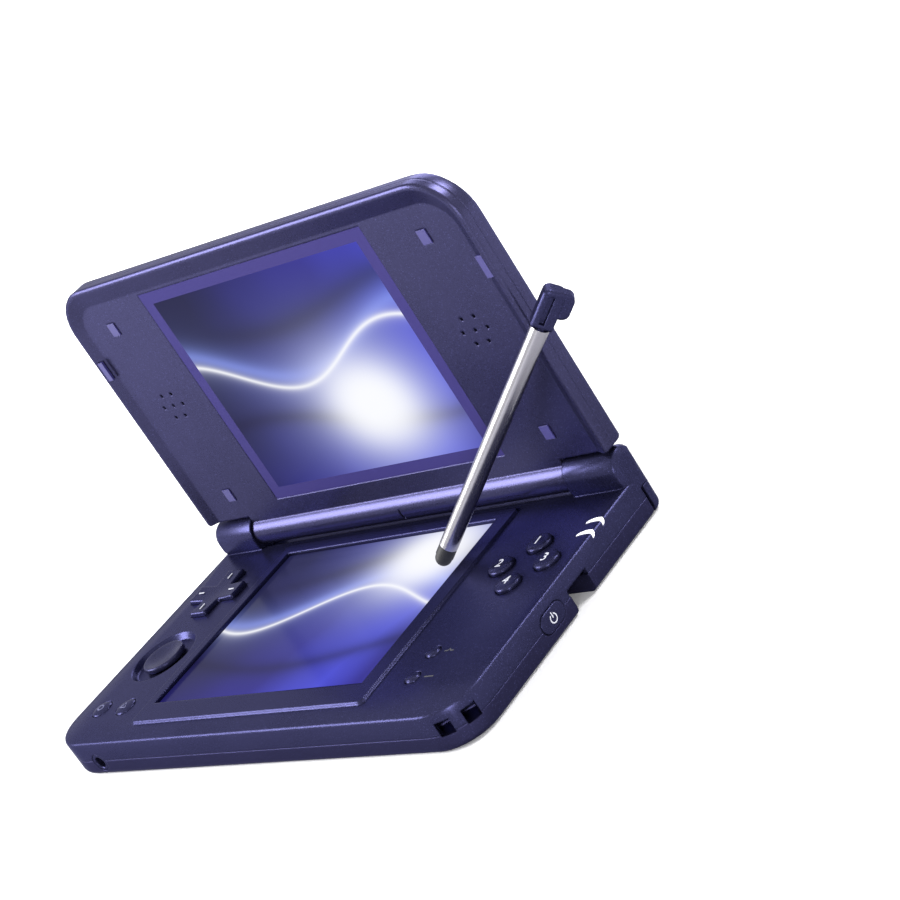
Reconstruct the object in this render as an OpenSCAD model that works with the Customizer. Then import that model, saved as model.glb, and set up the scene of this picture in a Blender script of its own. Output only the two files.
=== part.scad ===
// Clamshell handheld game console with two screens and a stylus that leans on the lid.
// X runs along the hinge, Y from the front edge to the hinge, Z up. The origin is the middle of the underside.

/* [Base] */
// Width of the console along the hinge
body_w = 160; // [150:0.5:172]
// Depth from the front edge to the back of the hinge ears
body_d = 93; // [90:0.5:100]
// Height of the base's flat deck
base_t = 11.3; // [11.1:0.1:12.2]
// Height of the parting line round the base
seam_z = 5.2; // [4.8:0.1:5.6]
// Corner radius in plan, away from the hinge
corner_r = 12.2; // [10:0.2:16]
// Corner radius in plan, at the hinge ears
rear_corner_r = 4; // [2.5:0.25:5]
// Radius that rolls the sides under the base
bottom_edge_r = 2; // [1.5:0.1:4]
// Radius along the deck's outer edge
deck_edge_r = 0.8; // [0.4:0.1:1.2]
// Side wall thickness of every casing
wall = 1.6; // [1.4:0.1:2]
// Thickness of the base's floor
floor_t = 1.3; // [1.1:0.1:1.5]
// Thickness of the deck
deck_t = 1.3; // [1.1:0.1:1.4]

/* [Lid] */
// Thickness of the lid
lid_t = 8.4; // [7.8:0.1:9.4]
// Gap between rim and deck when shut
shut_gap = 0.3; // [0.2:0.05:0.5]
// Depth from the rim to the lid's inner panel
panel_drop = 1.6; // [1.5:0.1:2]
// Thickness of the lid's inner panel
panel_t = 1.3; // [1.2:0.1:1.5]
// Slope width between rim and panel, at the sides
slope_side = 3; // [2:0.25:4]
// Slope width between rim and panel, at the free edge
slope_top = 4.6; // [3:0.25:6]
// Rounding of the lid's outer face, at the sides
lid_side_r = 3; // [2:0.25:4]
// Rounding of the lid's outer face, at the free edge
lid_top_r = 6.5; // [4:0.5:8]

/* [Hinge] */
// Radius of the hinge ears on the base
ear_r = 5.2; // [4.9:0.1:5.5]
// Width of each hinge ear
ear_w = 17.5; // [16:0.5:19]
// Radius of the lid's barrel
barrel_r = 4.4; // [4.2:0.1:4.6]
// Height of the hinge axis
hinge_z = 15.3; // [15.2:0.1:15.8]
// Side clearance between barrel and ears
hinge_gap = 0.4; // [0.3:0.05:0.6]
// Radius of the steel hinge pins
pin_r = 1.5; // [1.2:0.1:1.8]
// Radius of the friction cartridges
cartridge_r = 2.6; // [2.4:0.1:2.8]

/* [Screens] */
// Width of each lit screen
screen_w = 84; // [80:0.5:86]
// Depth of each lit screen
screen_d = 63.5; // [60:0.5:64]
// Centre of the lower screen across the base
lower_screen_x = -3.2; // [-4:0.1:-2]
// Distance from the front edge to the lower screen
lower_screen_front = 14.2; // [13:0.1:15]
// Height of the raised frame round the lower screen
frame_h = 0.7; // [0.4:0.1:0.8]
// Distance from the hinge axis to the upper screen
upper_screen_v = 13.7; // [13:0.1:15]
// Border that the upper window shows round its screen, at the sides
window_side = 3.8; // [2.5:0.1:5]
// Border that the upper window shows above and below its screen
window_end = 3.6; // [2.5:0.1:4]

/* [Controls] */
// Span of the direction pad
dpad_span = 19.6; // [18:0.2:20.4]
// Width of the direction pad's arms
dpad_arm = 6.8; // [6:0.1:7.4]
// Radius of the four face buttons
face_r = 3.6; // [3.2:0.1:4]
// Distance of each face button from their centre
face_pitch = 7.7; // [7.4:0.1:8.4]
// Radius of the dish round the slide pad
dish_r = 10.6; // [10:0.1:11]
// Radius of the slide pad's cap
cap_r = 6.5; // [6:0.1:6.9]
// Travel of the slide pad each way
cap_travel = 2; // [1:0.1:2.2]
// Height of the tall buttons above the deck
key_h = 1.4; // [1:0.1:1.5]
// Clearance round every button
key_gap = 0.2; // [0.15:0.05:0.3]
// Press travel of the deck buttons
key_travel = 0.5; // [0.3:0.05:0.5]

/* [Stylus] */
// Radius of the stylus shaft
stylus_r = 2.45; // [2.2:0.05:2.6]
// Whole length of the stylus
stylus_len = 86; // [80:1:96]
// Length of the stylus head
stylus_head = 11; // [9:0.5:12]
// Elevation of the leaning stylus
stylus_lean = 39.5; // [36:0.5:43]
// Distance from the front edge to the holster in the base
holster_front = 51.9; // [51:0.1:53]
// Height of the holster's axis above the underside
holster_z = 3.9; // [3.8:0.05:4]
// Radial clearance of the stylus in its holster
stylus_gap = 0.2; // [0.1:0.05:0.3]

/* [Hidden] */

fit = 0.05;           // air between parts that seat on each other
eps = 0.01;           // thickness of a loft's thin layers
arc_steps = 10;       // straight steps in a quarter corner
round_steps = 5;      // layers in an edge rounding
front_y = -body_d / 2;
rear_y = body_d / 2;
side_x = body_w / 2;
hinge_y = rear_y - ear_r;
ear_x = side_x - ear_w;
barrel_half = ear_x - hinge_gap;
lid_corner_r = corner_r + 0.8;
roof_z = base_t - deck_t;
frame_z = base_t + frame_h;

// Colours of the real finishes
shell_blue = [0.20, 0.19, 0.36];
key_blue = [0.14, 0.14, 0.25];
screen_blue = [0.16, 0.12, 0.45];
steel = [0.72, 0.72, 0.72];
board_green = [0.08, 0.30, 0.16];
rubber_grey = [0.10, 0.10, 0.11];

// Trough in the base that the barrel turns in
trough_r = barrel_r + 0.9;
trough_floor = hinge_z - trough_r;
cavity_rear_y = hinge_y - 6.6;       // behind this line the cavity stays low, under the trough
cavity_rear_z = trough_floor - 1.4;

// Shoulder button pockets at the rear corners
shoulder_w = 24;
shoulder_gap = 0.4;
shoulder_travel = 0.8;
shoulder_front_y = hinge_y - 0.5;
shoulder_roof_z = 8.2;
shoulder_tab_w = 14;
shoulder_tab_z = [3, 5];

// Lower screen
screen_y0 = front_y + lower_screen_front;
screen_yc = screen_y0 + screen_d / 2;
panel_lip = 2;                       // how far touch panel and display reach under the frame
touch_t = 0.65;
touch_top = frame_z - 1.15;
display_t = 1.65;
display_top = touch_top - touch_t - fit;
frame_left = 3.1;
frame_right = 5.2;
frame_front = 7.2;
frame_rear = 4.0;

// Boards and battery
boss_r = 3.3;                        // screw bosses that the boards stay clear of
holster_half = 3.9;                  // half the width of the holster's block
board_t = 0.9;
board_z = 7.4;
board_top = board_z + board_t;
board_split = 30;                    // from the left side to the gap between the boards
board_inset = 14;
board_front = 4.5;
board_notch = [20, 8.5];
board_x = [board_split - side_x, side_x - board_inset];
board_y = [front_y + board_front, cavity_rear_y - 1];
left_board_front = 12;
left_board_x = [-side_x + wall + 2.4, board_split - 1 - side_x];
left_board_y = [front_y + left_board_front, cavity_rear_y - 1.3 - boss_r - 0.3];
battery_w = 70;
battery_h = 5.1;
battery_inset = 35;
battery_size = [battery_w, holster_front - holster_half - board_front - 0.5, battery_h];
battery_pos = [battery_inset - side_x, front_y + board_front, floor_t + fit];
shield_inset = [44, 18];
shield_h = 2.2;

// Deck buttons
flange_t = 0.75;
flange_lip = 0.9;
flange_top = roof_z - 0.1;
dpad_flange = [board_top + 0.8, board_top + 1.2];
dpad_inset = 16.5;                   // insets count from the nearer side wall, fronts from the front edge
dpad_front = 62.8;
dpad_pos = [dpad_inset - side_x, front_y + dpad_front];
dish_inset = 16.8;
dish_front = 36;
dish_pos = [dish_inset - side_x, front_y + dish_front];
dish_depth = 1.7;
face_inset = 16.1;
face_front = 56;
face_pos = [side_x - face_inset, front_y + face_front];
small_r = 3.2;
small_h = 0.6;
menu_inset = 10;
home_inset = 21;
menu_front = 14.6;
menu_pos = [menu_inset - side_x, front_y + menu_front];
home_pos = [home_inset - side_x, front_y + menu_front];
option_r = 2.1;
option_h = 0.7;
option_inset = 24.4;
start_front = 24.4;
select_front = 15.2;
start_pos = [side_x - option_inset, front_y + start_front];
select_pos = [side_x - option_inset, front_y + select_front];
face_places = [[face_pitch, 0], [0, -face_pitch], [0, face_pitch], [-face_pitch, 0]];

// Slide pad
slide_housing_r = 11.2;
slide_housing_z = [3.2, 8.0];
slide_hole_r = 5.6;
carriage_half = [5.6, 8];
dish_flare = 1.2;
slide_stem_r = 2.6;
cap_h = 0.5;

// Side controls
side_key_z = 5.6;
power_y = front_y + 40.7;
power_size = [9.6, 5];
power_travel = 0.4;
rocker_y = front_y + 37;
rocker_size = [20, 4.6];
side_key_proud = 0.15;
side_flange_x = side_x - wall - 0.1;

// Ports
jack_inset = 18;
jack_x = jack_inset - side_x;
jack_z = 4.6;
jack_r = 1.8;
jack_body = [7, 12, 6];
jack_ring_r = 2.7;
jack_depth = 10;
port_size = [9.2, 3.4];
port_depth = 7;
port_z = 4.4;
card_x = -34;
card_size = [12.4, 1.8];

// Screws
screw_inset = 8;
strap_screw_inset = 16;              // clear of the strap holes in the right front corner
screw_head_r = 1.9;
screw_shaft_r = 0.85;
screw_places = [[screw_inset - side_x, front_y + screw_inset],
    [side_x - strap_screw_inset, front_y + screw_inset],
    [screw_inset - side_x, cavity_rear_y - 1.3], [side_x - screw_inset, cavity_rear_y - 1.3]];

// Strap holes in the right front corner
strap_hole = 4;
strap_z = 6.6;
strap_angles = [-62, -28];
strap_post_r = 1.1;

// Status lights that wrap over the right edge
light_places = [front_y + 66.9, front_y + 71.8];
light_inset = 1.9;
light_r = 2.4;
light_inner_r = 4;
light_half = 2.15;
light_t = 1.35;
light_proud = 0.12;

// Stylus holster, and the notch in the side wall that takes the stylus's thumb flange
holster_y = front_y + holster_front;
notch_w = [stylus_r + 0.55, 5.5];
notch_z = 6.9;
notch_x = side_x - stylus_head;
holster_x = side_x - stylus_len - 4;
holster_top = 7.25;

// Lid, in its own frame: X across, Y away from the hinge axis, Z towards the reader
rim_w = hinge_z - base_t - shut_gap;
panel_w = rim_w - panel_drop;
back_w = rim_w - lid_t;
panel_back_w = panel_w - panel_t;
lid_seam_w = panel_back_w - 0.1;
lid_len = hinge_y - front_y;
wing_v = ear_r + 0.8;
tongue_v = barrel_r + 0.2;
rim_lip = 1.3;
window_t = 0.8;
window_recess = 0.08;
upper_c = upper_screen_v + screen_d / 2;
speaker_inset = 18.6;
speaker_v = 46.1;
speaker_pos = [side_x - speaker_inset, speaker_v];
speaker_hole_r = 0.55;
speaker_pitch = 4.3;
speaker_r = 7.5;
bumper_inset = 16.1;
bumper_pos = [side_x - bumper_inset, 14.3, 73.3];
bumper_size = [3.0, 4.0];
bumper_proud = 0.35;
stop_v = 62.2;
stop_inset = 2.6;
stop_size = [2.0, 6.2];
cartridge_len = 19;

// Leaning stylus: its tip stands on the touch panel and its shaft clears the lid's right edge
tip_r = 2.2;
tip_inset = 47.8;
tip_len = 6.2;
tip_pos = [side_x - tip_inset, front_y + 61.7, touch_top + tip_r + 0.03];
lean_corner = [side_x - tip_pos[0], hinge_y - rim_w - tip_pos[1]];
lean_turn = atan2(lean_corner[1], lean_corner[0]) - asin((stylus_r + fit) / norm(lean_corner));
head_turn = -77;
head_flange_len = 7.4;

// ---- helpers ----

function arc(cx, cy, r, from, to) =
    [for (i = [0:arc_steps])
        let (a = from + (to - from) * i / arc_steps) [cx + r * cos(a), cy + r * sin(a)]];

// Outline of a plate with radius rf at its low corners and rr at its high corners
function plate(w, y0, y1, rf, rr) = concat(
    arc(w / 2 - rf, y0 + rf, rf, -90, 0), arc(w / 2 - rr, y1 - rr, rr, 0, 90),
    arc(-w / 2 + rr, y1 - rr, rr, 90, 180), arc(-w / 2 + rf, y0 + rf, rf, 180, 270));

module slab(w, y0, y1, rf, rr, z0, z1) {
    translate([0, 0, z0]) linear_extrude(z1 - z0) polygon(plate(w, y0, y1, rf, rr));
}

module block(x, y, z) {
    translate([x[0], y[0], z[0]]) cube([x[1] - x[0], y[1] - y[0], z[1] - z[0]]);
}

// One thin layer of the base's outline, drawn in by inset
module base_layer(z, inset) {
    slab(body_w - 2 * inset, front_y + inset, rear_y - inset, corner_r - inset,
        rear_corner_r - min(inset, rear_corner_r - 0.4), z, z + eps);
}

// The base's whole outer form, from the rolled underside to the deck
module base_form(z0, z1) {
    hull() {
        for (i = [0:round_steps]) {
            a = 90 * i / round_steps;
            z = bottom_edge_r * (1 - sin(a));
            if (z >= z0 - eps) base_layer(z, bottom_edge_r * (1 - cos(a)));
        }
        base_layer(max(z0, bottom_edge_r), 0);
        base_layer(min(z1, base_t - deck_edge_r) - eps, 0);
        if (z1 >= base_t) {
            base_layer(base_t - deck_edge_r * 0.3 - eps, deck_edge_r * 0.3);
            base_layer(base_t - eps, deck_edge_r);
        }
    }
}

module tube_x(r, x0, x1) {
    translate([x0, 0, 0]) rotate([0, 90, 0]) cylinder(r = r, h = x1 - x0, $fn = 64);
}

// A flat-sided oval, long in Y, drawn through a side wall
module side_oval(size, x0, x1, y, z) {
    half = (size[0] - size[1]) / 2;
    translate([0, y, z]) {
        block([x0, x1], [-half, half], [-size[1] / 2, size[1] / 2]);
        for (s = [-1, 1]) translate([0, s * half, 0]) tube_x(size[1] / 2, x0, x1);
    }
}

module each_face() {
    for (p = face_places) translate([face_pos[0] + p[0], face_pos[1] + p[1], 0]) children();
}

module cross(span, arm, z0, z1) {
    block([-span / 2, span / 2], [-arm / 2, arm / 2], [z0, z1]);
    block([-arm / 2, arm / 2], [-span / 2, span / 2], [z0, z1]);
}

module at_hinge() {
    translate([0, hinge_y, hinge_z]) children();
}

// Stands the lid's own frame upright at the hinge
module lid_frame() {
    at_hinge() rotate([90, 0, 0]) children();
}

// ---- cuts shared by both base shells ----

module shoulder_pocket(s) {
    scale([s, 1, 1]) {
        block([side_x - shoulder_w - shoulder_gap, side_x + 1], [shoulder_front_y, rear_y + 1],
            [-1, shoulder_roof_z]);
        block([side_x - shoulder_w / 2 - shoulder_tab_w / 2 - 0.3,
            side_x - shoulder_w / 2 + shoulder_tab_w / 2 + 0.3],
            [shoulder_front_y - wall - 2, rear_y], [shoulder_tab_z[0] - 0.3, shoulder_tab_z[1] + 0.3]);
    }
}

// Solid corner that the strap holes are cut in, kept inside the casing's own outline
module strap_block(z0, z1) {
    intersection() {
        slab(body_w - 2 * wall, front_y + wall, 0, corner_r - wall, 1, z0, z1);
        translate([side_x - corner_r, front_y + corner_r, 0]) rotate([0, 0, -45])
            block([corner_r - 8, corner_r], [-6.6, 6.6], [z0, z1]);
    }
}

module strap_cuts() {
    translate([side_x - corner_r, front_y + corner_r, strap_z]) {
        for (a = strap_angles) rotate([0, 0, a])
            block([corner_r - 4.2, corner_r + 2], [-strap_hole / 2, strap_hole / 2],
                [-strap_hole / 2, strap_hole / 2]);
        rotate([0, 0, (strap_angles[0] + strap_angles[1]) / 2])
            block([corner_r - 6.6, corner_r - 3.4], [-5.4, 5.4], [-strap_hole / 2, strap_hole / 2]);
    }
}

module light_cuts(grow) {
    for (y = light_places) translate([side_x - light_inset, y, base_t]) rotate([0, 45, 0])
        translate([0, -light_r, -4.4]) intersection() {
            difference() {
                cylinder(r = light_r + grow, h = 7, $fn = 64);
                translate([0, light_r - light_t - light_inner_r, -1])
                    cylinder(r = light_inner_r - grow, h = 9, $fn = 96);
            }
            block([-light_half - grow, light_half + grow], [-light_r, light_r + 1], [-1, 9]);
        }
}

module side_cuts() {
    for (s = [-1, 1]) shoulder_pocket(s);
    side_oval([power_size[0] + 2 * key_gap, power_size[1] + 2 * key_gap], side_x - wall - 1, side_x + 1,
        power_y, side_key_z);
    side_oval([rocker_size[0] + 2 * key_gap, rocker_size[1] + 2 * key_gap], -side_x - 1, -side_x + wall + 1,
        rocker_y, side_key_z);
    block([notch_x - 0.2, side_x + 1], [holster_y - notch_w[0], holster_y + notch_w[1]], [-1, notch_z]);
    translate([jack_x, front_y - 1, jack_z]) rotate([-90, 0, 0])
        cylinder(r = jack_ring_r + fit, h = wall + 2, $fn = 48);
    block([-port_size[0] / 2 - 0.2, port_size[0] / 2 + 0.2], [rear_y - wall - 1, rear_y + 1],
        [port_z - port_size[1] / 2 - 0.2, port_z + port_size[1] / 2 + 0.2]);
    block([card_x - card_size[0] / 2, card_x + card_size[0] / 2], [rear_y - wall - 1, rear_y + 1],
        [port_z - card_size[1] / 2, port_z + card_size[1] / 2]);
    strap_cuts();
}

// ---- base ----

module base_lower_shell() {
    color(shell_blue) difference() {
        union() {
            difference() {
                base_form(0, seam_z);
                slab(body_w - 2 * wall, front_y + wall, shoulder_front_y - wall, corner_r - wall, 1,
                    floor_t, seam_z + 1);
                slab(2 * (side_x - shoulder_w - shoulder_gap - wall), 0, rear_y - wall, 1, 1, floor_t,
                    seam_z + 1);
            }
            for (p = screw_places) translate([p[0], p[1], floor_t - 0.2])
                cylinder(r = boss_r, h = seam_z - floor_t + 0.2 - fit, $fn = 48);
            block([holster_x, side_x - wall / 2], [holster_y - holster_half, holster_y + holster_half],
                [floor_t - 0.3, seam_z]);
            block([holster_x, notch_x - 1], [holster_y - holster_half, holster_y + holster_half],
                [seam_z - 0.5, holster_top]);
            block([notch_x - 1.6, side_x - wall / 2],
                [holster_y - notch_w[0] - 1.2, holster_y + notch_w[1] + 1.2], [floor_t - 0.3, seam_z]);
            strap_block(floor_t - 0.3, seam_z);
        }
        for (p = screw_places) translate([p[0], p[1], -1]) {
            cylinder(r = screw_shaft_r + 0.35, h = seam_z + 2, $fn = 32);
            cylinder(r = screw_head_r + 0.35, h = 3.4, $fn = 48);
        }
        translate([0, holster_y, holster_z])
            tube_x(stylus_r + stylus_gap, side_x - stylus_len - 0.6, side_x + 1);
        side_cuts();
    }
}

module ear_blank() {
    hull() for (z = [hinge_z, shoulder_roof_z + ear_r]) {
        translate([0, hinge_y, z]) {
            tube_x(ear_r, ear_x, side_x - 2, $fn = 48);
            tube_x(ear_r - 0.55, side_x - 1, side_x - 0.9);
            tube_x(ear_r - 2, side_x - 0.05, side_x);
        }
    }
}

module base_upper_shell() {
    frame_w = screen_w + frame_left + frame_right;
    color(shell_blue) difference() {
        union() {
            difference() {
                base_form(seam_z, base_t);
                slab(body_w - 2 * wall, front_y + wall, cavity_rear_y, corner_r - wall, 1, seam_z - 1,
                    roof_z);
                slab(body_w - 2 * wall, 0, shoulder_front_y - wall, 1, 1, seam_z - 1, cavity_rear_z);
                slab(2 * (side_x - shoulder_w - shoulder_gap - wall), 0, rear_y - wall, 1, 1, seam_z - 1,
                    cavity_rear_z);
            }
            hull() {
                translate([lower_screen_x + (frame_right - frame_left) / 2, 0, 0]) {
                    slab(frame_w + 0.8, screen_y0 - frame_front - 0.4, screen_y0 + screen_d + frame_rear,
                        1.6, 1.6, base_t - 0.3, base_t);
                    slab(frame_w, screen_y0 - frame_front, screen_y0 + screen_d + frame_rear, 1.4, 1.4,
                        frame_z - 0.3, frame_z);
                }
            }
            for (p = screw_places) translate([p[0], p[1], seam_z])
                cylinder(r = boss_r - 0.6, h = roof_z - seam_z + 0.2, $fn = 48);
            translate([dish_pos[0], dish_pos[1], roof_z - 1.6]) cylinder(r = dish_r + 0.9, h = 2, $fn = 64);
            strap_block(seam_z, roof_z + 0.3);
            block([notch_x - 1.6, side_x - wall / 2],
                [holster_y - notch_w[0] - 1.2, holster_y + notch_w[1] + 1.2],
                    [holster_top + 0.1, roof_z + 0.3]);
            for (s = [-1, 1]) scale([s, 1, 1]) intersection() {
                ear_blank();
                slab(body_w, front_y, rear_y, corner_r, rear_corner_r, shoulder_roof_z,
                    hinge_z + ear_r + 1);
            }
        }
        block([notch_x - 1.8, side_x + 1], [holster_y - notch_w[0] - 0.2, holster_y + notch_w[1] + 0.2],
            [seam_z - 1, notch_z + 0.05]);
        at_hinge() tube_x(trough_r, -ear_x, ear_x);
        for (s = [-1, 1]) scale([s, 1, 1]) at_hinge() tube_x(pin_r + 0.03, ear_x - 1, side_x - 4);
        translate([lower_screen_x, screen_yc, 0]) {
            block([-screen_w / 2, screen_w / 2], [-screen_d / 2, screen_d / 2], [roof_z - 1, frame_z + 1]);
            block([-screen_w / 2 - panel_lip - fit, screen_w / 2 + panel_lip + fit],
                [-screen_d / 2 - panel_lip - fit, screen_d / 2 + panel_lip + fit],
                    [roof_z - 1, touch_top + fit]);
        }
        translate([dpad_pos[0], dpad_pos[1], 0])
            cross(dpad_span + 2 * key_gap, dpad_arm + 2 * key_gap, roof_z - 1, base_t + 1);
        translate([dish_pos[0], dish_pos[1], 0]) {
            translate([0, 0, base_t - dish_depth])
                cylinder(r1 = dish_r - dish_flare, r2 = dish_r, h = dish_depth + eps, $fn = 96);
            translate([0, 0, roof_z - 3]) cylinder(r = slide_hole_r, h = 5, $fn = 64);
        }
        each_face() {
            translate([0, 0, roof_z - 1]) cylinder(r = face_r + key_gap, h = 4, $fn = 48);
            translate([0, 0, board_top])
                cylinder(r = face_r + flange_lip + key_gap, h = roof_z - board_top, $fn = 48);
        }
        for (p = [menu_pos, home_pos]) translate([p[0], p[1], roof_z - 1])
            cylinder(r = small_r + key_gap, h = 4, $fn = 48);
        for (p = [start_pos, select_pos]) translate([p[0], p[1], roof_z - 1])
            cylinder(r = option_r + key_gap, h = 4, $fn = 32);
        for (p = screw_places) translate([p[0], p[1], seam_z - 1])
            cylinder(r = screw_shaft_r + fit, h = 4.6, $fn = 32);
        light_cuts(fit);
        side_cuts();
    }
}

module touch_panel() {
    color(screen_blue) translate([lower_screen_x, screen_yc, 0])
        block([-screen_w / 2 - panel_lip, screen_w / 2 + panel_lip],
            [-screen_d / 2 - panel_lip, screen_d / 2 + panel_lip],
            [touch_top - touch_t, touch_top]);
}

module lower_display() {
    color(rubber_grey) translate([lower_screen_x, screen_yc, 0])
        block([-screen_w / 2 - 1.6, screen_w / 2 + 1.6], [-screen_d / 2 - 1.6, screen_d / 2 + 1.6],
            [display_top - display_t, display_top]);
}

module main_board() {
    color(board_green) difference() {
        block(board_x, board_y, [board_z, board_top]);
        block([board_x[1] - board_notch[0], board_x[1] + 1], [board_y[0] - 1, board_y[0] + board_notch[1]],
            [board_z - 1, board_top + 1]);
    }
}

module control_board() {
    color(board_green) difference() {
        block(left_board_x, left_board_y, [board_z, board_top]);
        translate([dish_pos[0], dish_pos[1], board_z - 1])
            cylinder(r = slide_housing_r + 0.3, h = 4, $fn = 64);
    }
}

module processor_shield() {
    color(steel) block([side_x - shield_inset[0], side_x - shield_inset[1]],
        [holster_y + holster_half + 1, cavity_rear_y - 4], [board_z - shield_h, board_z - fit]);
}

module battery() {
    color(rubber_grey) translate(battery_pos) cube(battery_size);
}

// A round deck button with its retaining flange
module round_key(pos, r, h, dome) {
    translate([pos[0], pos[1], 0]) {
        translate([0, 0, flange_top - 0.1])
            cylinder(r = r, h = base_t + h - dome - flange_top + 0.1, $fn = 48);
        translate([0, 0, base_t + h - dome - eps])
            cylinder(r1 = r, r2 = r - dome * 1.3, h = dome + eps, $fn = 48);
        translate([0, 0, flange_top - flange_t]) cylinder(r = r + flange_lip - 0.1, h = flange_t, $fn = 48);
    }
}

module face_button(i) {
    color(key_blue) round_key(face_pos + face_places[i], face_r, key_h, 0.5);
}

module face_membrane() {
    color(rubber_grey) translate([face_pos[0], face_pos[1], board_top + fit]) intersection() {
        cylinder(r = face_pitch + face_r + 1.2, h = 0.25, $fn = 64);
        block([-20, board_x[1] - face_pos[0]], [-20, 20], [0, 1]);
    }
}

module dpad() {
    color(key_blue) translate([dpad_pos[0], dpad_pos[1], 0]) difference() {
        union() {
            cross(dpad_span, dpad_arm, dpad_flange[1] - 0.1, base_t + key_h);
            translate([0, 0, dpad_flange[0]])
                cylinder(r = dpad_span / 2 - 1.6, h = dpad_flange[1] - dpad_flange[0], $fn = 64);
        }
        translate([0, 0, base_t + key_h + 7.3]) sphere(r = 7.9, $fn = 64);
        translate([0, 0, dpad_flange[0] - 1]) cylinder(r = 1.6, h = 1.6, $fn = 32);
    }
}

module dpad_pivot() {
    color(key_blue) translate([dpad_pos[0], dpad_pos[1], board_top + 0.3])
        cylinder(r = 1.3, h = 1.05, $fn = 32);
}

module dpad_membrane() {
    color(rubber_grey) translate([dpad_pos[0], dpad_pos[1], board_top + fit])
        cylinder(r = dpad_span / 2, h = 0.15, $fn = 64);
}

module slide_pad_cap() {
    color(key_blue) translate([dish_pos[0], dish_pos[1], 0]) difference() {
        union() {
            translate([0, 0, base_t - dish_depth + 0.5])
                cylinder(r = cap_r, h = dish_depth - 0.5 + cap_h, $fn = 64);
            translate([0, 0, slide_housing_z[1] - 0.9])
                cylinder(r = slide_stem_r, h = base_t - slide_housing_z[1] - 0.2, $fn = 48);
        }
        translate([0, 0, base_t + cap_h + 24.2]) sphere(r = 24.7, $fn = 96);
    }
}

module slide_pad_carriage() {
    color(rubber_grey) translate([dish_pos[0], dish_pos[1], slide_housing_z[1] - 1]) difference() {
        block([-carriage_half[0], carriage_half[0]], [-carriage_half[1], carriage_half[1]], [-0.8, 0.7]);
        block([-slide_stem_r - 0.2, slide_stem_r + 0.2],
            [-slide_stem_r - cap_travel - 0.2, slide_stem_r + cap_travel + 0.2], [-1, 1]);
    }
}

module slide_pad_housing() {
    color(rubber_grey) translate([dish_pos[0], dish_pos[1], 0]) difference() {
        translate([0, 0, slide_housing_z[0]])
            cylinder(r = slide_housing_r - 0.2, h = slide_housing_z[1] - slide_housing_z[0], $fn = 64);
        block([-carriage_half[0] - cap_travel - 0.2, carriage_half[0] + cap_travel + 0.2],
            [-carriage_half[1] - 0.2, carriage_half[1] + 0.2],
            [slide_housing_z[1] - 2, slide_housing_z[1] + 1]);
    }
    color(rubber_grey) translate([dish_pos[0], dish_pos[1], floor_t + fit])
        cylinder(r = 4, h = slide_housing_z[0] - floor_t - fit + eps, $fn = 48);
}

module start_button() { color(key_blue) round_key(start_pos, option_r, option_h, 0.6); }

module select_button() { color(key_blue) round_key(select_pos, option_r, option_h, 0.6); }

module menu_button() { color(key_blue) round_key(menu_pos, small_r, small_h, 0.3); }

module home_button() { color(key_blue) round_key(home_pos, small_r, small_h, 0.3); }

module shoulder_button(s) {
    color(shell_blue) scale([s, 1, 1]) {
        intersection() {
            base_form(0, shoulder_roof_z);
            block([side_x - shoulder_w, side_x - 0.05],
                [shoulder_front_y + shoulder_travel + 0.3, rear_y - 0.1],
                [0.3, shoulder_roof_z - 0.3]);
        }
        translate([side_x - shoulder_w / 2, 0, 0]) {
            block([-shoulder_tab_w / 2, shoulder_tab_w / 2],
                [shoulder_front_y - wall - 0.2, shoulder_front_y + shoulder_travel + 1], shoulder_tab_z);
            block([-shoulder_tab_w / 2 + 1, shoulder_tab_w / 2 - 1],
                [shoulder_front_y - wall - 0.9, shoulder_front_y - wall - 0.15],
                    [shoulder_tab_z[0] - 0.9, shoulder_tab_z[1] + 0.1]);
        }
    }
}

module power_button() {
    color(shell_blue) {
        side_oval(power_size, side_flange_x - 0.3, side_x + side_key_proud, power_y, side_key_z);
        side_oval([power_size[0] + 1.6, power_size[1] + 1.4], side_flange_x - 0.6, side_flange_x, power_y,
            side_key_z);
    }
}

module volume_rocker() {
    color(shell_blue) scale([-1, 1, 1]) difference() {
        union() {
            side_oval(rocker_size, side_flange_x - 0.6, side_x + side_key_proud, rocker_y, side_key_z);
            block([side_flange_x - 0.7, side_flange_x - 0.15], [rocker_y - 3.5, rocker_y + 3.5],
                [side_key_z - rocker_size[1] / 2 - 0.8, side_key_z + rocker_size[1] / 2 + 0.8]);
        }
        block([side_x - 0.25, side_x + 1], [rocker_y - 0.2, rocker_y + 0.2], [0, base_t]);
    }
}

// Small push switches, each a hair behind the end of its button's travel
module tact_switches() {
    color(steel) {
        block([side_flange_x - 4.0, side_flange_x - 0.6 - power_travel - fit],
            [power_y - 2.5, power_y + 2.5], [4.6, board_z - fit]);
        for (y = [rocker_y - 6.5, rocker_y + 6.5])
            block([-side_flange_x + 1.1, -side_flange_x + 3.2], [y - 1.8, y + 1.8],
                [4.6, board_z - fit]);
        for (s = [-1, 1]) scale([s, 1, 1])
            block([side_x - shoulder_w / 2 - 5, side_x - shoulder_w / 2],
                [shoulder_front_y - wall - 4.2, shoulder_front_y - wall - 0.9 - shoulder_travel - fit],
                    [floor_t + fit, shoulder_tab_z[1]]);
    }
}

module audio_jack() {
    color(rubber_grey) translate([jack_x, front_y, jack_z]) difference() {
        union() {
            translate([0, 0.1, 0]) rotate([-90, 0, 0]) cylinder(r = jack_ring_r, h = wall + 1, $fn = 48);
            block([-jack_body[0] / 2, jack_body[0] / 2], [wall + fit, wall + jack_body[1]],
                [floor_t + fit - jack_z, jack_body[2] / 2 - 0.3]);
        }
        translate([0, -1, 0]) rotate([-90, 0, 0]) cylinder(r = jack_r, h = jack_depth + 1.1, $fn = 48);
    }
}

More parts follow.
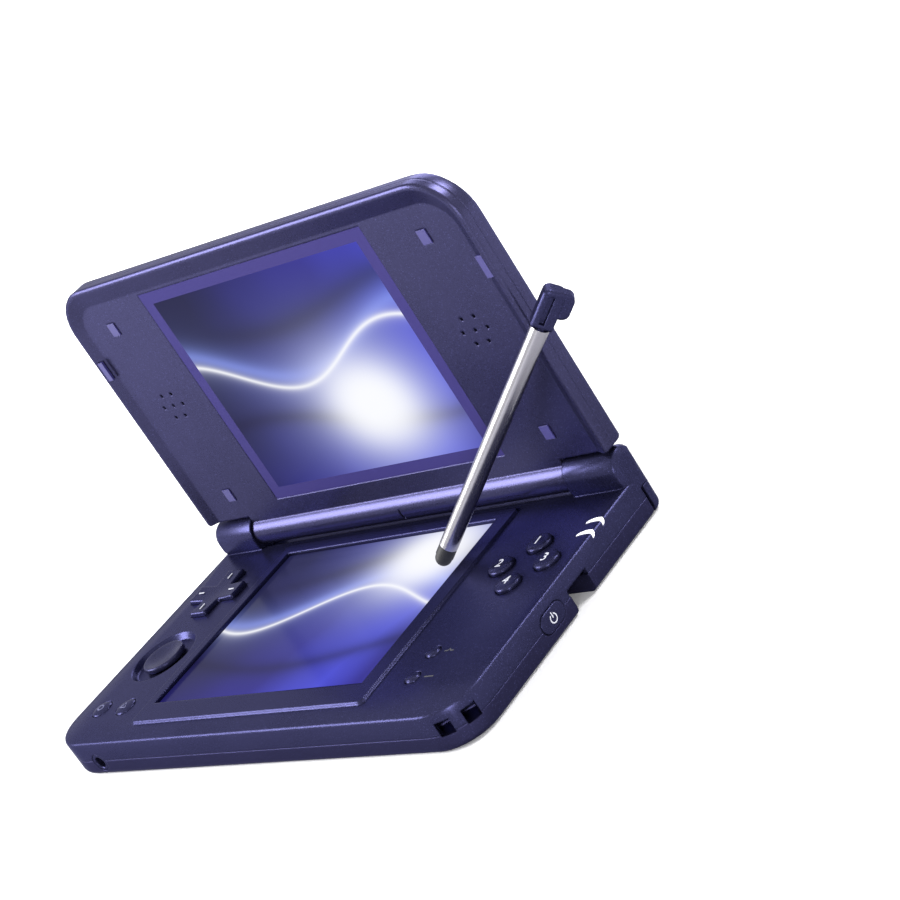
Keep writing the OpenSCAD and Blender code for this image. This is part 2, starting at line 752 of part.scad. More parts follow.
module charging_port() {
    color(steel) translate([0, rear_y, port_z]) difference() {
        block([-port_size[0] / 2, port_size[0] / 2], [-port_depth, -0.3],
            [-port_size[1] / 2, port_size[1] / 2]);
        block([-port_size[0] / 2 + 0.35, port_size[0] / 2 - 0.35], [-port_depth + 0.8, 1],
            [-port_size[1] / 2 + 0.35, port_size[1] / 2 - 0.35]);
    }
    color(rubber_grey) translate([0, rear_y, port_z])
        block([-3.3, 3.3], [-port_depth + 0.8, -1.1], [-0.35, 0.35]);
}

module card_reader() {
    color(steel) translate([card_x, rear_y - wall - fit, 0]) difference() {
        block([-7.2, 7.2], [-14, 0], [floor_t + fit, port_z + 1.4]);
        block([-card_size[0] / 2, card_size[0] / 2], [-13, 1],
            [port_z - card_size[1] / 2, port_z + card_size[1] / 2]);
    }
}

module status_light_pipes() {
    color("white") intersection() {
        light_cuts(0);
        difference() {
            translate([light_proud, 0, light_proud])
                block([side_x - 6, side_x], [front_y, rear_y], [base_t - 4, base_t]);
            block([side_x - 8, side_x - 1.2], [front_y - 1, rear_y + 1], [base_t - 6, base_t - 1.2]);
            translate([side_x + light_proud, 0, base_t + light_proud]) rotate([0, 45, 0])
                block([-2, 2], [front_y - 1, rear_y + 1], [-0.42, 2]);
        }
    }
}

module strap_post() {
    color(shell_blue) translate([side_x - corner_r, front_y + corner_r, 0])
        rotate([0, 0, (strap_angles[0] + strap_angles[1]) / 2])
        translate([corner_r - 5, 0, strap_z - strap_hole / 2 + fit])
            cylinder(r = strap_post_r, h = strap_hole - 2 * fit, $fn = 32);
}

module case_screws() {
    color(steel) for (p = screw_places) translate([p[0], p[1], 0]) difference() {
        union() {
            translate([0, 0, 1.1]) cylinder(r = screw_head_r, h = 1.2, $fn = 48);
            translate([0, 0, 2.2]) cylinder(r = screw_shaft_r, h = 6.2, $fn = 32);
        }
        for (a = [0, 90]) translate([0, 0, 1.1]) rotate([0, 0, a])
            block([-1.3, 1.3], [-0.25, 0.25], [-1, 0.6]);
    }
}

module hinge_pins() {
    color(steel) for (s = [-1, 1]) scale([s, 1, 1]) at_hinge() tube_x(pin_r, ear_x - 7, side_x - 4.2);
}

// ---- lid ----

// One thin layer of the lid's outline, drawn in at the sides and at the free edge
module lid_layer(w, side, top) {
    rr = max(lid_corner_r - side, 1);
    translate([0, 0, w]) linear_extrude(eps)
        polygon(plate(body_w - 2 * side, wing_v, lid_len - top, 1, rr));
}

module lid_form(w0, w1) {
    hull() {
        for (i = [0:round_steps]) {
            a = 90 * i / round_steps;
            w = back_w + lid_side_r * (1 - sin(a));
            if (w0 < w) lid_layer(w, lid_side_r * (1 - cos(a)), lid_top_r * pow(1 - cos(a), 0.9));
        }
        lid_layer(max(w0, back_w + lid_side_r), 0, 0);
        lid_layer(min(w1, rim_w - 0.8) - eps, 0, 0);
        if (w1 >= rim_w) {
            lid_layer(rim_w - 0.3 - eps, 0.25, 0.25);
            lid_layer(rim_w - eps, 0.8, 0.8);
        }
    }
}

module lid_outer_shell() {
    color(shell_blue) lid_frame() difference() {
        union() {
            lid_form(back_w, lid_seam_w);
            block([-barrel_half, barrel_half], [tongue_v, wing_v + 2], [back_w, panel_back_w - fit]);
        }
        translate([0, 0, back_w + 1.4]) linear_extrude(lid_t)
            polygon(plate(body_w - 2 * wall - 1.6, wing_v + wall, lid_len - lid_top_r / 2 - wall, 1,
                lid_corner_r - wall));
    }
}

// The recess that the lid's inner panel lies in, between sloped sides
module lid_recess() {
    hull() {
        slab(body_w - 2 * rim_lip, wing_v - 6, lid_len - rim_lip, 0.5, lid_corner_r - rim_lip, rim_w,
            rim_w + 1);
        slab(body_w - 2 * rim_lip - 2 * slope_side, wing_v - 6, lid_len - rim_lip - slope_top, 0.5,
            lid_corner_r - rim_lip - slope_side, panel_w, rim_w + 1);
    }
}

module speaker_holes() {
    for (s = [-1, 1]) translate([s * speaker_pos[0], speaker_pos[1], panel_back_w - 1]) {
        cylinder(r = speaker_hole_r, h = 4, $fn = 24);
        for (a = [0:60:300]) rotate([0, 0, a])
            translate([speaker_pitch, 0, 0]) cylinder(r = speaker_hole_r, h = 4, $fn = 24);
    }
}

module lid_seats() {
    for (s = [-1, 1]) {
        for (v = [bumper_pos[1], bumper_pos[2]]) translate([s * bumper_pos[0], v, panel_w - 0.5])
            block([-bumper_size[0] / 2 - fit, bumper_size[0] / 2 + fit],
                [-bumper_size[1] / 2 - fit, bumper_size[1] / 2 + fit], [0, 2]);
        translate([s * (side_x - stop_inset), stop_v, rim_w - 0.9])
            block([-stop_size[0] / 2 - fit, stop_size[0] / 2 + fit],
                [-stop_size[1] / 2 - fit, stop_size[1] / 2 + fit], [0, 2]);
    }
}

module lid_bezel() {
    color(shell_blue) lid_frame() difference() {
        union() {
            difference() {
                union() {
                    lid_form(lid_seam_w + fit, rim_w);
                    block([-barrel_half, barrel_half], [0, wing_v + 2], [panel_back_w, panel_w]);
                }
                translate([0, 0, -1]) linear_extrude(panel_back_w + 1)
                    polygon(plate(body_w - 2 * wall, wing_v + wall, lid_len - wall, 1, lid_corner_r - wall));
                lid_recess();
                window_cut(window_side + fit, window_end + fit, panel_w - window_recess - window_t - fit);
                window_cut(0.2, 0.2, panel_back_w - 1);
                speaker_holes();
                lid_seats();
            }
            tube_x(barrel_r, -barrel_half, barrel_half);
        }
        tube_x(cartridge_r + fit, -barrel_half - 1, barrel_half + 1);
        block([-0.35, 0.35], [-2.4, 0.9], [barrel_r - 1.2, barrel_r + 1]);
    }
}

module window_cut(side, end, w0) {
    block([-screen_w / 2 - side, screen_w / 2 + side],
        [upper_screen_v - end, upper_screen_v + screen_d + end], [w0, rim_w + 1]);
}

module upper_window() {
    color(screen_blue) lid_frame() block([-screen_w / 2 - window_side, screen_w / 2 + window_side],
        [upper_screen_v - window_end, upper_screen_v + screen_d + window_end],
        [panel_w - window_recess - window_t, panel_w - window_recess]);
}

module upper_display() {
    color(rubber_grey) lid_frame()
        block([-screen_w / 2 - 2, screen_w / 2 + 2],
            [upper_screen_v - 1.6, upper_screen_v + screen_d + 1.6],
        [panel_back_w - fit - 1.8, panel_back_w - fit]);
}

module speakers() {
    color(rubber_grey) lid_frame() for (s = [-1, 1])
        translate([s * speaker_pos[0], speaker_pos[1], panel_back_w - fit - 3])
        difference() {
            cylinder(r = speaker_r, h = 3, $fn = 64);
            translate([0, 0, 2.4]) cylinder(r = speaker_r - 1, h = 1, $fn = 64);
        }
}

module corner_bumpers() {
    color(screen_blue) lid_frame() for (s = [-1, 1]) for (v = [bumper_pos[1], bumper_pos[2]])
        translate([s * bumper_pos[0], v, panel_w - 0.45])
            block([-bumper_size[0] / 2, bumper_size[0] / 2], [-bumper_size[1] / 2, bumper_size[1] / 2],
                [0, 0.45 + bumper_proud]);
}

module rim_stops() {
    color(screen_blue) lid_frame() for (s = [-1, 1])
        translate([s * (side_x - stop_inset), stop_v, rim_w - 0.85])
        block([-stop_size[0] / 2, stop_size[0] / 2], [-stop_size[1] / 2, stop_size[1] / 2], [0, 0.75]);
}

module microphone() {
    color(steel) lid_frame() tube_x(cartridge_r - 0.2, -2.2, 2.2);
}

module hinge_cartridges() {
    color(steel) lid_frame() for (s = [-1, 1]) scale([s, 1, 1]) difference() {
        tube_x(cartridge_r, barrel_half - cartridge_len, barrel_half - 0.1);
        tube_x(pin_r + fit, ear_x - 7.3, barrel_half + 1);
    }
}

module display_flex() {
    color("orange") lid_frame()
        block([-8, 8], [upper_screen_v - 3.4, upper_screen_v + 4],
            [panel_back_w - 2.2, panel_back_w - 1.9]);
}

// ---- stylus ----

// Stands the stylus, drawn tip down along +Z, in its leaning place
module leaning() {
    translate(tip_pos) rotate([0, 0, lean_turn]) rotate([0, 90 - stylus_lean, 0]) rotate([0, 0, head_turn])
        translate([0, 0, -tip_r]) children();
}

// A plate across the stylus, with round corners and both faces' edges cut by a chamfer
module head_plate(x, y, z, rf, rr, chamfer) {
    translate([0, (y[0] + y[1]) / 2, 0]) hull() {
        for (e = [[0, chamfer], [chamfer, 0]]) translate([x[0] + e[0], 0, 0]) rotate([90, 0, 90])
            linear_extrude(x[1] - x[0] - 2 * e[0])
                polygon(plate(y[1] - y[0] - 2 * e[1], z[0] + e[1], z[1] - e[1], rf - e[1] / 2,
                    rr - e[1] / 2));
    }
}

module stylus_head() {
    z0 = stylus_len - stylus_head;
    thick = [-stylus_r, stylus_r - 0.6];
    color(shell_blue) leaning() difference() {
        union() {
            head_plate(thick, [-notch_w[0] + 0.2, notch_w[0] - 0.2], [z0, stylus_len], 0.6, 1.7, 0.5);
            head_plate([thick[0] + 0.5, thick[1] - 0.5], [0, notch_w[1] - 0.2],
                [stylus_len - head_flange_len, stylus_len], 2, 2.2, 0.5);
            translate([0, 0, z0 - 4]) cylinder(r = stylus_r - 0.75, h = 5, $fn = 48);
        }
        block([thick[1] - 1.2, thick[1] + 1], [-1.1, 0.3], [z0 + 1.4, stylus_len - 1.6]);
    }
}

module stylus_shaft() {
    color(steel) leaning() translate([0, 0, tip_len]) difference() {
        cylinder(r = stylus_r, h = stylus_len - stylus_head - fit - tip_len, $fn = 64);
        translate([0, 0, 1.5]) cylinder(r = stylus_r - 0.7, h = stylus_len, $fn = 64);
    }
}

module stylus_tip() {
    color(rubber_grey) leaning() {
        translate([0, 0, tip_r]) sphere(r = tip_r, $fn = 48);
        translate([0, 0, tip_r]) cylinder(r = tip_r, h = 1, $fn = 48);
        translate([0, 0, 3]) cylinder(r = stylus_r - 0.05, h = tip_len - 3 - fit, $fn = 48);
    }
}

base_lower_shell();
base_upper_shell();
touch_panel();
lower_display();
main_board();
control_board();
processor_shield();
battery();
dpad();
dpad_pivot();
dpad_membrane();
slide_pad_cap();
slide_pad_carriage();
slide_pad_housing();
face_button(0);  // button_right
face_button(1);  // button_bottom
face_button(2);  // button_top
face_button(3);  // button_left
face_membrane();
start_button();
select_button();
menu_button();
home_button();
shoulder_button(-1);  // shoulder_button_left
shoulder_button(1);  // shoulder_button_right
power_button();
volume_rocker();
tact_switches();
audio_jack();
charging_port();
card_reader();
status_light_pipes();
strap_post();
case_screws();
hinge_pins();
lid_outer_shell();
lid_bezel();
upper_window();
upper_display();
speakers();
corner_bumpers();
rim_stops();
microphone();
hinge_cartridges();
display_flex();
stylus_head();
stylus_shaft();
stylus_tip();
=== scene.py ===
"""A clamshell handheld console: its finishes, detail pieces, camera and light around the CAD frame."""

import logging
import math
from dataclasses import dataclass, field
from enum import Enum
from functools import cache
from typing import Any, Iterable, Sequence, Union

import bmesh
import bpy
from mathutils import Matrix, Vector


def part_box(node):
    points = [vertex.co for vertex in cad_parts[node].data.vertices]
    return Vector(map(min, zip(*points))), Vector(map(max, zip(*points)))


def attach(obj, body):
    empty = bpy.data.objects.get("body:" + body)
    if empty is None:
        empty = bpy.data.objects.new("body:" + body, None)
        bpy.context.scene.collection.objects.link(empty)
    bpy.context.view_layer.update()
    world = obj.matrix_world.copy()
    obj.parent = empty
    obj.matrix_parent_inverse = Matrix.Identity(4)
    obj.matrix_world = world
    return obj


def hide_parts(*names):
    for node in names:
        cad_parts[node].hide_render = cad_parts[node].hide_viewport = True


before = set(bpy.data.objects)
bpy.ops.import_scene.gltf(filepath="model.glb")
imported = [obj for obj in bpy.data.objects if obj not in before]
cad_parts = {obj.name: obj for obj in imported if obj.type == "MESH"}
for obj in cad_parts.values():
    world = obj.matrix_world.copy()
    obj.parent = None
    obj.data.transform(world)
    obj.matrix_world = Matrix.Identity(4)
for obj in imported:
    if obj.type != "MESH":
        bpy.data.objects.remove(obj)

LOG = logging.getLogger("console")
MM = 0.001
TINY = 1e-6
NODE_SMOOTH_DEG = 28.0
PIECE_SMOOTH_DEG = 35.0
NODE_WELD_MM = 0.002
PRINT_WELD_MM = 0.001
FONT_SIZE_PER_HEIGHT = 1.35
UNLIT = (0.0, 0.0, 0.0, 1.0)
FULL_WHITE = (1.0, 1.0, 1.0, 1.0)
Point = Sequence[float]
Colour = tuple[float, float, float, float]
Number = Union[float, "Wire"]


def srgb(red: int, green: int, blue: int) -> Colour:
    """Turns a colour as it is seen on screen into Blender's linear values.

    Args:
        red: Red, 0 to 255.
        green: Green, 0 to 255.
        blue: Blue, 0 to 255.

    Returns:
        The linear colour with full alpha.
    """
    def linear(value: int) -> float:
        """Undoes the screen's curve for one channel."""
        part = value / 255
        return part / 12.92 if part <= 0.04045 else ((part + 0.055) / 1.055) ** 2.4

    return (linear(red), linear(green), linear(blue), 1.0)


class Tone(Enum):
    """The console's colours, as they look under plain light, with a lit and a shaded copy of the shell's tone that
    are painted light and painted shade.
    """

    SHELL = srgb(49, 49, 79)
    # Painted light: a lighter copy of the shell's tone for the lid, standing in for the lid catching more light than
    # the deck.
    SHELL_PAINTED_LIT = srgb(58, 57, 86)
    # Painted shade: a darker copy of the shell's tone for the underside, standing in for the shade on the lower
    # half.
    SHELL_PAINTED_SHADE = srgb(46, 45, 74)
    KEY = srgb(48, 48, 76)
    KEY_RIM = srgb(112, 114, 178)
    BEZEL = srgb(58, 53, 106)
    NIGHT = srgb(16, 10, 54)
    INDIGO = srgb(40, 30, 140)
    VIOLET = srgb(70, 72, 214)
    SKY = srgb(136, 156, 252)
    GLOW = srgb(250, 251, 255)
    MARK = srgb(226, 228, 240)
    FAINT = srgb(104, 106, 150)
    RUBBER = srgb(15, 15, 18)
    PAD = srgb(64, 60, 122)
    STEEL = srgb(206, 206, 210)
    SHAFT = srgb(176, 174, 180)
    BOARD = srgb(24, 74, 44)
    BLACK = srgb(14, 14, 18)
    WHITE = srgb(248, 248, 252)


# ---------------------------------------------------------------- shader expressions


@dataclass(frozen=True)
class Wire:
    """A shader value that Python's operators work on."""

    tree: "ShaderTree"
    socket: bpy.types.NodeSocket

    def __add__(self, other: Number) -> "Wire":
        """Adds a value."""
        return self.tree.math("ADD", self, other)

    __radd__ = __add__

    def __sub__(self, other: Number) -> "Wire":
        """Takes a value away."""
        return self.tree.math("SUBTRACT", self, other)

    def __rsub__(self, other: Number) -> "Wire":
        """Is taken away from a value."""
        return self.tree.math("SUBTRACT", other, self)

    def __mul__(self, other: Number) -> "Wire":
        """Multiplies by a value."""
        return self.tree.math("MULTIPLY", self, other)

    __rmul__ = __mul__

    def __truediv__(self, other: Number) -> "Wire":
        """Divides by a value."""
        return self.tree.math("DIVIDE", self, other)

    def __rtruediv__(self, other: Number) -> "Wire":
        """Divides a value."""
        return self.tree.math("DIVIDE", other, self)

    def __pow__(self, other: Number) -> "Wire":
        """Raises to a power."""
        return self.tree.math("POWER", self, other)

    def __rpow__(self, other: Number) -> "Wire":
        """Is the power that a value is raised to."""
        return self.tree.math("POWER", other, self)

    def __lt__(self, other: Number) -> "Wire":
        """Is 1 where this is the smaller."""
        return self.tree.math("LESS_THAN", self, other)

    def __gt__(self, other: Number) -> "Wire":
        """Is 1 where this is the larger."""
        return self.tree.math("GREATER_THAN", self, other)

    def __abs__(self) -> "Wire":
        """Drops the sign."""
        return self.tree.math("ABSOLUTE", self)

    def clamped(self) -> "Wire":
        """Keeps the value between 0 and 1."""
        return self.tree.math("MULTIPLY", self, 1.0, clamp=True)

    def sine(self) -> "Wire":
        """Takes the sine."""
        return self.tree.math("SINE", self)


class ShaderTree:
    """Builds the nodes of one material or of the world."""

    def __init__(self, nodes: bpy.types.NodeTree) -> None:
        """Starts from an empty tree.

        Args:
            nodes: The node tree to fill.
        """
        self.nodes = nodes
        self.nodes.nodes.clear()

    def add(self, kind: str, settings: dict[str, Any] | None = None,
            inputs: dict[str | int, Any] | None = None) -> bpy.types.Node:
        """Adds a node, sets it up and then fills or links its sockets.

        Args:
            kind: Blender's name of the node type.
            settings: Properties to set first.
            inputs: Values or wires for its sockets, by name or by number.

        Returns:
            The node.
        """
        node = self.nodes.nodes.new(kind)
        for key, value in (settings or {}).items():
            if key == "stops":
                self._set_stops(node, value)
            else:
                setattr(node, key, value)
        for key, value in (inputs or {}).items():
            if isinstance(value, Wire):
                self.nodes.links.new(value.socket, node.inputs[key])
            else:
                node.inputs[key].default_value = value
        return node

    @staticmethod
    def _set_stops(node: bpy.types.Node, stops: Sequence[tuple[float, Tone]]) -> None:
        """Gives a colour ramp its stops.

        Args:
            node: The ramp.
            stops: Place and colour of each stop.
        """
        ramp = node.color_ramp.elements
        while len(ramp) < len(stops):
            ramp.new(0.5)
        for element, (place, tone) in zip(ramp, stops):
            element.position = place
            element.color = tone.value

    def wire(self, node: bpy.types.Node, output: str | int = 0) -> Wire:
        """Takes one output of a node."""
        return Wire(self, node.outputs[output])

    def math(self, operation: str, *values: Number, clamp: bool = False) -> Wire:
        """Adds a Math node.

        Args:
            operation: Blender's name of the operation.
            *values: Its operands.
            clamp: Whether the result stays between 0 and 1.

        Returns:
            The result.
        """
        node = self.add("ShaderNodeMath", {"operation": operation, "use_clamp": clamp}, dict(enumerate(values)))
        return self.wire(node)

    def mix(self, factor: Number, first: Any, second: Any) -> Wire:
        """Blends two colours.

        Args:
            factor: How much of the second one shows.
            first: First colour.
            second: Second colour.

        Returns:
            The blended colour.
        """
        node = self.add("ShaderNodeMix", {"data_type": "RGBA"}, {0: factor, 6: first, 7: second})
        return self.wire(node, 2)

    def place(self) -> Wire:
        """Gives the point on the surface, in the object's own frame."""
        return self.wire(self.add("ShaderNodeTexCoord"), "Object")

    def millimetres(self) -> tuple[Wire, Wire, Wire]:
        """Gives the point's three coordinates in millimetres."""
        split = self.add("ShaderNodeSeparateXYZ", inputs={0: self.place()})
        return tuple(self.wire(split, axis) * (1.0 / MM) for axis in range(3))

    def noise(self, size_mm: float, detail: float, stretch: Point = (1, 1, 1)) -> Wire:
        """Adds soft noise.

        Args:
            size_mm: Size of its spots.
            detail: Octaves of finer noise.
            stretch: How much the noise is squeezed along each axis.

        Returns:
            The noise, about 0.5 on average.
        """
        mapped = self.add("ShaderNodeMapping", inputs={"Vector": self.place(), "Scale": tuple(stretch)})
        node = self.add("ShaderNodeTexNoise", inputs={
            "Vector": self.wire(mapped), "Scale": 1.0 / (size_mm * MM), "Detail": detail})
        return self.wire(node, "Fac")

    def bump(self, height: Wire, depth_mm: float, strength: float, edge_mm: float) -> Wire:
        """Turns a height into a surface normal, over softened edges.

        Args:
            height: The height, 0 to 1.
            depth_mm: What a height of 1 stands for.
            strength: How much of the bump shows.
            edge_mm: Radius of the softened edges.

        Returns:
            The normal.
        """
        return self.wire(self.add("ShaderNodeBump", inputs={
            "Height": height, "Distance": depth_mm * MM, "Strength": strength, "Normal": self.soft_edge(edge_mm)}))

    def soft_edge(self, radius_mm: float) -> Wire:
        """Rounds the look of a hard edge by a small radius."""
        return self.wire(self.add("ShaderNodeBevel", {"samples": 6}, {"Radius": radius_mm * MM}))

    def surface(self, **inputs: Any) -> None:
        """Ends the tree in a Principled surface.

        Args:
            **inputs: Its sockets, with underscores for spaces.
        """
        named = {key.replace("_", " "): value for key, value in inputs.items()}
        shader = self.add("ShaderNodeBsdfPrincipled", inputs=named)
        self.add("ShaderNodeOutputMaterial", inputs={"Surface": self.wire(shader)})


# ---------------------------------------------------------------- finishes


@dataclass(frozen=True)
class Finish:
    """A material that is made once and then shared."""

    name: str

    def material(self) -> bpy.types.Material:
        """Finds the finish's material, or makes it."""
        known = bpy.data.materials.get(self.name)
        if known:
            return known
        material = bpy.data.materials.new(self.name)
        material.use_nodes = True
        self.build(ShaderTree(material.node_tree))
        return material

    def build(self, tree: ShaderTree) -> None:
        """Fills the material's node tree."""
        raise NotImplementedError


@dataclass(frozen=True)
class SatinPaint(Finish):
    """Metallic-look paint on moulded plastic, with a fine sparkle and soft mottling."""

    tone: Tone = Tone.SHELL
    metal: float = 0.8
    gloss: float = 0.3
    grain_mm: float = 0.3
    grain_depth: float = 0.3
    mottle_mm: float = 14.0
    speck_mm: float = 0.3
    edge_mm: float = 0.7
    sheen: float = 0.15
    sheen_tint: Colour = (0.5, 0.5, 0.64, 1.0)

    def build(self, tree: ShaderTree) -> None:
        """Fills the material's node tree."""
        grain = tree.noise(self.grain_mm, 3.0)
        mottle = tree.noise(self.mottle_mm, 2.0)
        speck = tree.noise(self.speck_mm, 1.0)
        sparkle = ((speck - 0.63) * 6.0).clamped()
        shade = (grain - 0.5) * 0.5 + (mottle - 0.5) * 0.22 + 0.45
        lighter = tuple(min(1.0, part * 1.5) for part in self.tone.value[:3]) + (1.0,)
        darker = tuple(part * 0.62 for part in self.tone.value[:3]) + (1.0,)
        base = tree.mix(shade.clamped(), darker, lighter)
        tree.surface(
            Base_Color=tree.mix(sparkle * 0.35, base, Tone.KEY_RIM.value),
            Metallic=self.metal,
            Roughness=self.gloss + (grain - 0.5) * 0.2 + (mottle - 0.5) * 0.08,
            Specular_IOR_Level=self.sheen,
            Specular_Tint=self.sheen_tint,
            Normal=tree.bump(grain, 0.02, self.grain_depth, self.edge_mm),
        )


@dataclass(frozen=True)
class Steel(Finish):
    """Bare steel with fine lines drawn along one axis."""

    tone: Tone = Tone.STEEL
    gloss: float = 0.2
    line_mm: float = 0.12
    stretch: tuple[float, float, float] = (1.0, 1.0, 0.04)
    smudge_mm: float = 6.0
    edge_mm: float = 0.12

    def build(self, tree: ShaderTree) -> None:
        """Fills the material's node tree."""
        lines = tree.noise(self.line_mm, 3.0, self.stretch)
        smudge = tree.noise(self.smudge_mm, 2.0)
        darker = tuple(part * 0.8 for part in self.tone.value[:3]) + (1.0,)
        tree.surface(
            Base_Color=tree.mix(lines, darker, self.tone.value),
            Metallic=1.0,
            Roughness=self.gloss + (lines - 0.5) * 0.12 + (smudge - 0.5) * 0.1,
            Normal=tree.bump(lines, 0.006, 0.15, self.edge_mm),
        )


@dataclass(frozen=True)
class Moulded(Finish):
    """Plain moulded plastic, rubber or enamel, with a fine surface grain."""

    tone: Tone = Tone.BLACK
    gloss: float = 0.5
    grain_mm: float = 0.2
    edge_mm: float = 0.1
    coat: float = 0.0

    def build(self, tree: ShaderTree) -> None:
        """Fills the material's node tree."""
        grain = tree.noise(self.grain_mm, 2.0)
        darker = tuple(part * 0.75 for part in self.tone.value[:3]) + (1.0,)
        tree.surface(
            Base_Color=tree.mix(grain, darker, self.tone.value),
            Roughness=self.gloss + (grain - 0.5) * 0.15,
            Coat_Weight=self.coat,
            Normal=tree.bump(grain, 0.01, 0.2, self.edge_mm),
        )


@dataclass(frozen=True)
class LightPipe(Finish):
    """Milky plastic with a faint white light behind it."""

    def build(self, tree: ShaderTree) -> None:
        """Fills the material's node tree."""
        cloud = tree.noise(1.2, 1.0)
        tree.surface(
            Base_Color=Tone.WHITE.value,
            Roughness=0.3 + (cloud - 0.5) * 0.1,
            Emission_Color=tree.mix(cloud, Tone.MARK.value, Tone.GLOW.value),
            Emission_Strength=0.55,
        )


class Upright(Enum):
    """Which of the object's axes runs up a screen."""

    ALONG_Y = 1
    ALONG_Z = 2


@dataclass(frozen=True)
class Ribbon:
    """One band of light or shade that waves across a screen.

    Its height, swing and width are shares of the picture's height.
    """

    height: float
    swing: float
    waves: float
    width: float
    tone: Tone
    strength: float


RIBBONS = (
    Ribbon(height=0.80, swing=0.07, waves=0.7, width=0.075, tone=Tone.NIGHT, strength=0.75),
    Ribbon(height=0.62, swing=0.12, waves=0.85, width=0.045, tone=Tone.SKY, strength=0.6),
    Ribbon(height=0.56, swing=0.11, waves=1.0, width=0.012, tone=Tone.GLOW, strength=0.9),
    Ribbon(height=0.26, swing=0.08, waves=0.6, width=0.05, tone=Tone.NIGHT, strength=0.6),
)


@dataclass(frozen=True)
class Screen(Finish):
    """A lit picture of drifting ribbons under clear gloss, inside a coloured border."""

    low: tuple[float, float] = (0.0, 0.0)
    high: tuple[float, float] = (1.0, 1.0)
    upright: Upright = Upright.ALONG_Y
    glow: tuple[float, float] = (0.5, 0.5)
    drift: float = 0.0
    border: Tone = Tone.BEZEL
    border_gloss: float = 0.34
    glass_gloss: float = 0.16

    def build(self, tree: ShaderTree) -> None:
        """Fills the material's node tree."""
        spot = tree.millimetres()
        across = (spot[0] - self.low[0]) / (self.high[0] - self.low[0])
        up = (spot[self.upright.value] - self.low[1]) / (self.high[1] - self.low[1])
        picture = self._picture(tree, across, up)
        inside = (abs(across - 0.5) < 0.5) * (abs(up - 0.5) < 0.5)
        grain = tree.noise(0.4, 1.0)
        tree.surface(
            Base_Color=tree.mix(inside, self.border.value, Tone.BLACK.value),
            Roughness=self.border_gloss - inside * (self.border_gloss - self.glass_gloss) + (grain - 0.5) * 0.05,
            Specular_IOR_Level=0.02,
            Emission_Color=tree.mix(inside, UNLIT, picture),
            Emission_Strength=1.0,
            Normal=tree.soft_edge(0.15),
        )

    def _picture(self, tree: ShaderTree, across: Wire, up: Wire) -> Wire:
        """Draws the ribbons and the glow.

        Args:
            tree: The material's nodes.
            across: Place across the picture, 0 to 1.
            up: Place up the picture, 0 to 1.

        Returns:
            The picture's colour.
        """
        sky = self._sky(tree, across, up)
        far = ((across - self.glow[0]) * 1.1) ** 2.0 + (up - self.glow[1]) ** 2.0
        halo = 1.0 / (far * 13.0 + 1.0)
        core = 1.0 / (far * far * 420.0 + 1.0)
        sky = tree.mix(halo ** 1.6, sky, Tone.SKY.value)
        for ribbon in RIBBONS:
            wave = (across * (ribbon.waves * math.tau) + self.drift + ribbon.height * 3).sine()
            line = wave * ribbon.swing + ribbon.height
            near = 1.0 / ((abs(up - line) / ribbon.width) ** 2.0 + 1.0)
            sky = tree.mix((near * ribbon.strength).clamped(), sky, ribbon.tone.value)
        return tree.mix(core, sky, Tone.GLOW.value)

    def _sky(self, tree: ShaderTree, across: Wire, up: Wire) -> Wire:
        """Draws the soft ground that the ribbons lie on.

        Args:
            tree: The material's nodes.
            across: Place across the picture, 0 to 1.
            up: Place up the picture, 0 to 1.

        Returns:
            The ground's colour.
        """
        slant = (across * 0.75 + (1.0 - up) * 0.25 + (tree.noise(26.0, 1.0) - 0.5) * 0.25).clamped()
        stops = ((0.12, Tone.NIGHT), (0.55, Tone.INDIGO), (0.85, Tone.VIOLET), (1.0, Tone.INDIGO))
        return tree.wire(tree.add("ShaderNodeValToRGB", {"stops": stops}, {"Fac": slant}))


# ---------------------------------------------------------------- meshes


@dataclass(frozen=True)
class Extent:
    """The box that a CAD node fills at rest, in metres."""

    low: Vector
    high: Vector

    @classmethod
    def of(cls, node: str) -> "Extent":
        """Measures a node by its name."""
        return cls(*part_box(node))

    @property
    def centre(self) -> Vector:
        """The box's middle."""
        return (self.low + self.high) / 2

    @property
    def size(self) -> Vector:
        """The box's edges."""
        return self.high - self.low


@dataclass
class Assembly:
    """A sub-assembly: the nodes it dresses and the detail pieces it adds, with sizes in millimetres."""

    body: str = "base"
    pieces: list[bpy.types.Object] = field(default_factory=list)

    def build(self) -> None:
        """Builds and dresses the sub-assembly."""
        raise NotImplementedError

    def dress(self, finish: Finish, *nodes: str, smooth: float = NODE_SMOOTH_DEG) -> None:
        """Gives CAD nodes a finish and even shading.

        Args:
            finish: The finish.
            *nodes: The nodes' names.
            smooth: Edges under this angle, in degrees, are shaded smooth.
        """
        for node in nodes:
            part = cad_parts[node]
            part.data.materials.clear()
            part.data.materials.append(finish.material())
            modifier = part.modifiers.new("even_shading", "NODES")
            modifier.node_group = even_shading(smooth)
            LOG.info("dressed %s with %s", node, finish.name)

    def add(self, name: str, mesh: bmesh.types.BMesh, finish: Finish, slot: str, body: str | None = None,
            replaces: Iterable[str] = ()) -> None:
        """Turns a mesh into a finished piece that rides on a body.

        Args:
            name: The piece's name.
            mesh: Its mesh, in the CAD's frame.
            finish: Its finish.
            slot: The record's material slot; not used.
            body: The body it rides on, or the assembly's own.
            replaces: CAD nodes that it stands for.
        """
        bmesh.ops.recalc_face_normals(mesh, faces=mesh.faces[:])
        data = bpy.data.meshes.new(name)
        mesh.to_mesh(data)
        mesh.free()
        data.shade_smooth()
        data.set_sharp_from_angle(angle=math.radians(PIECE_SMOOTH_DEG))
        data.materials.append(finish.material())
        piece = bpy.data.objects.new(name, data)
        bpy.context.scene.collection.objects.link(piece)
        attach(piece, body or self.body)
        for node in replaces:
            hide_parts(node)
        self.pieces.append(piece)
        LOG.info("built %s with %d faces", name, len(data.polygons))


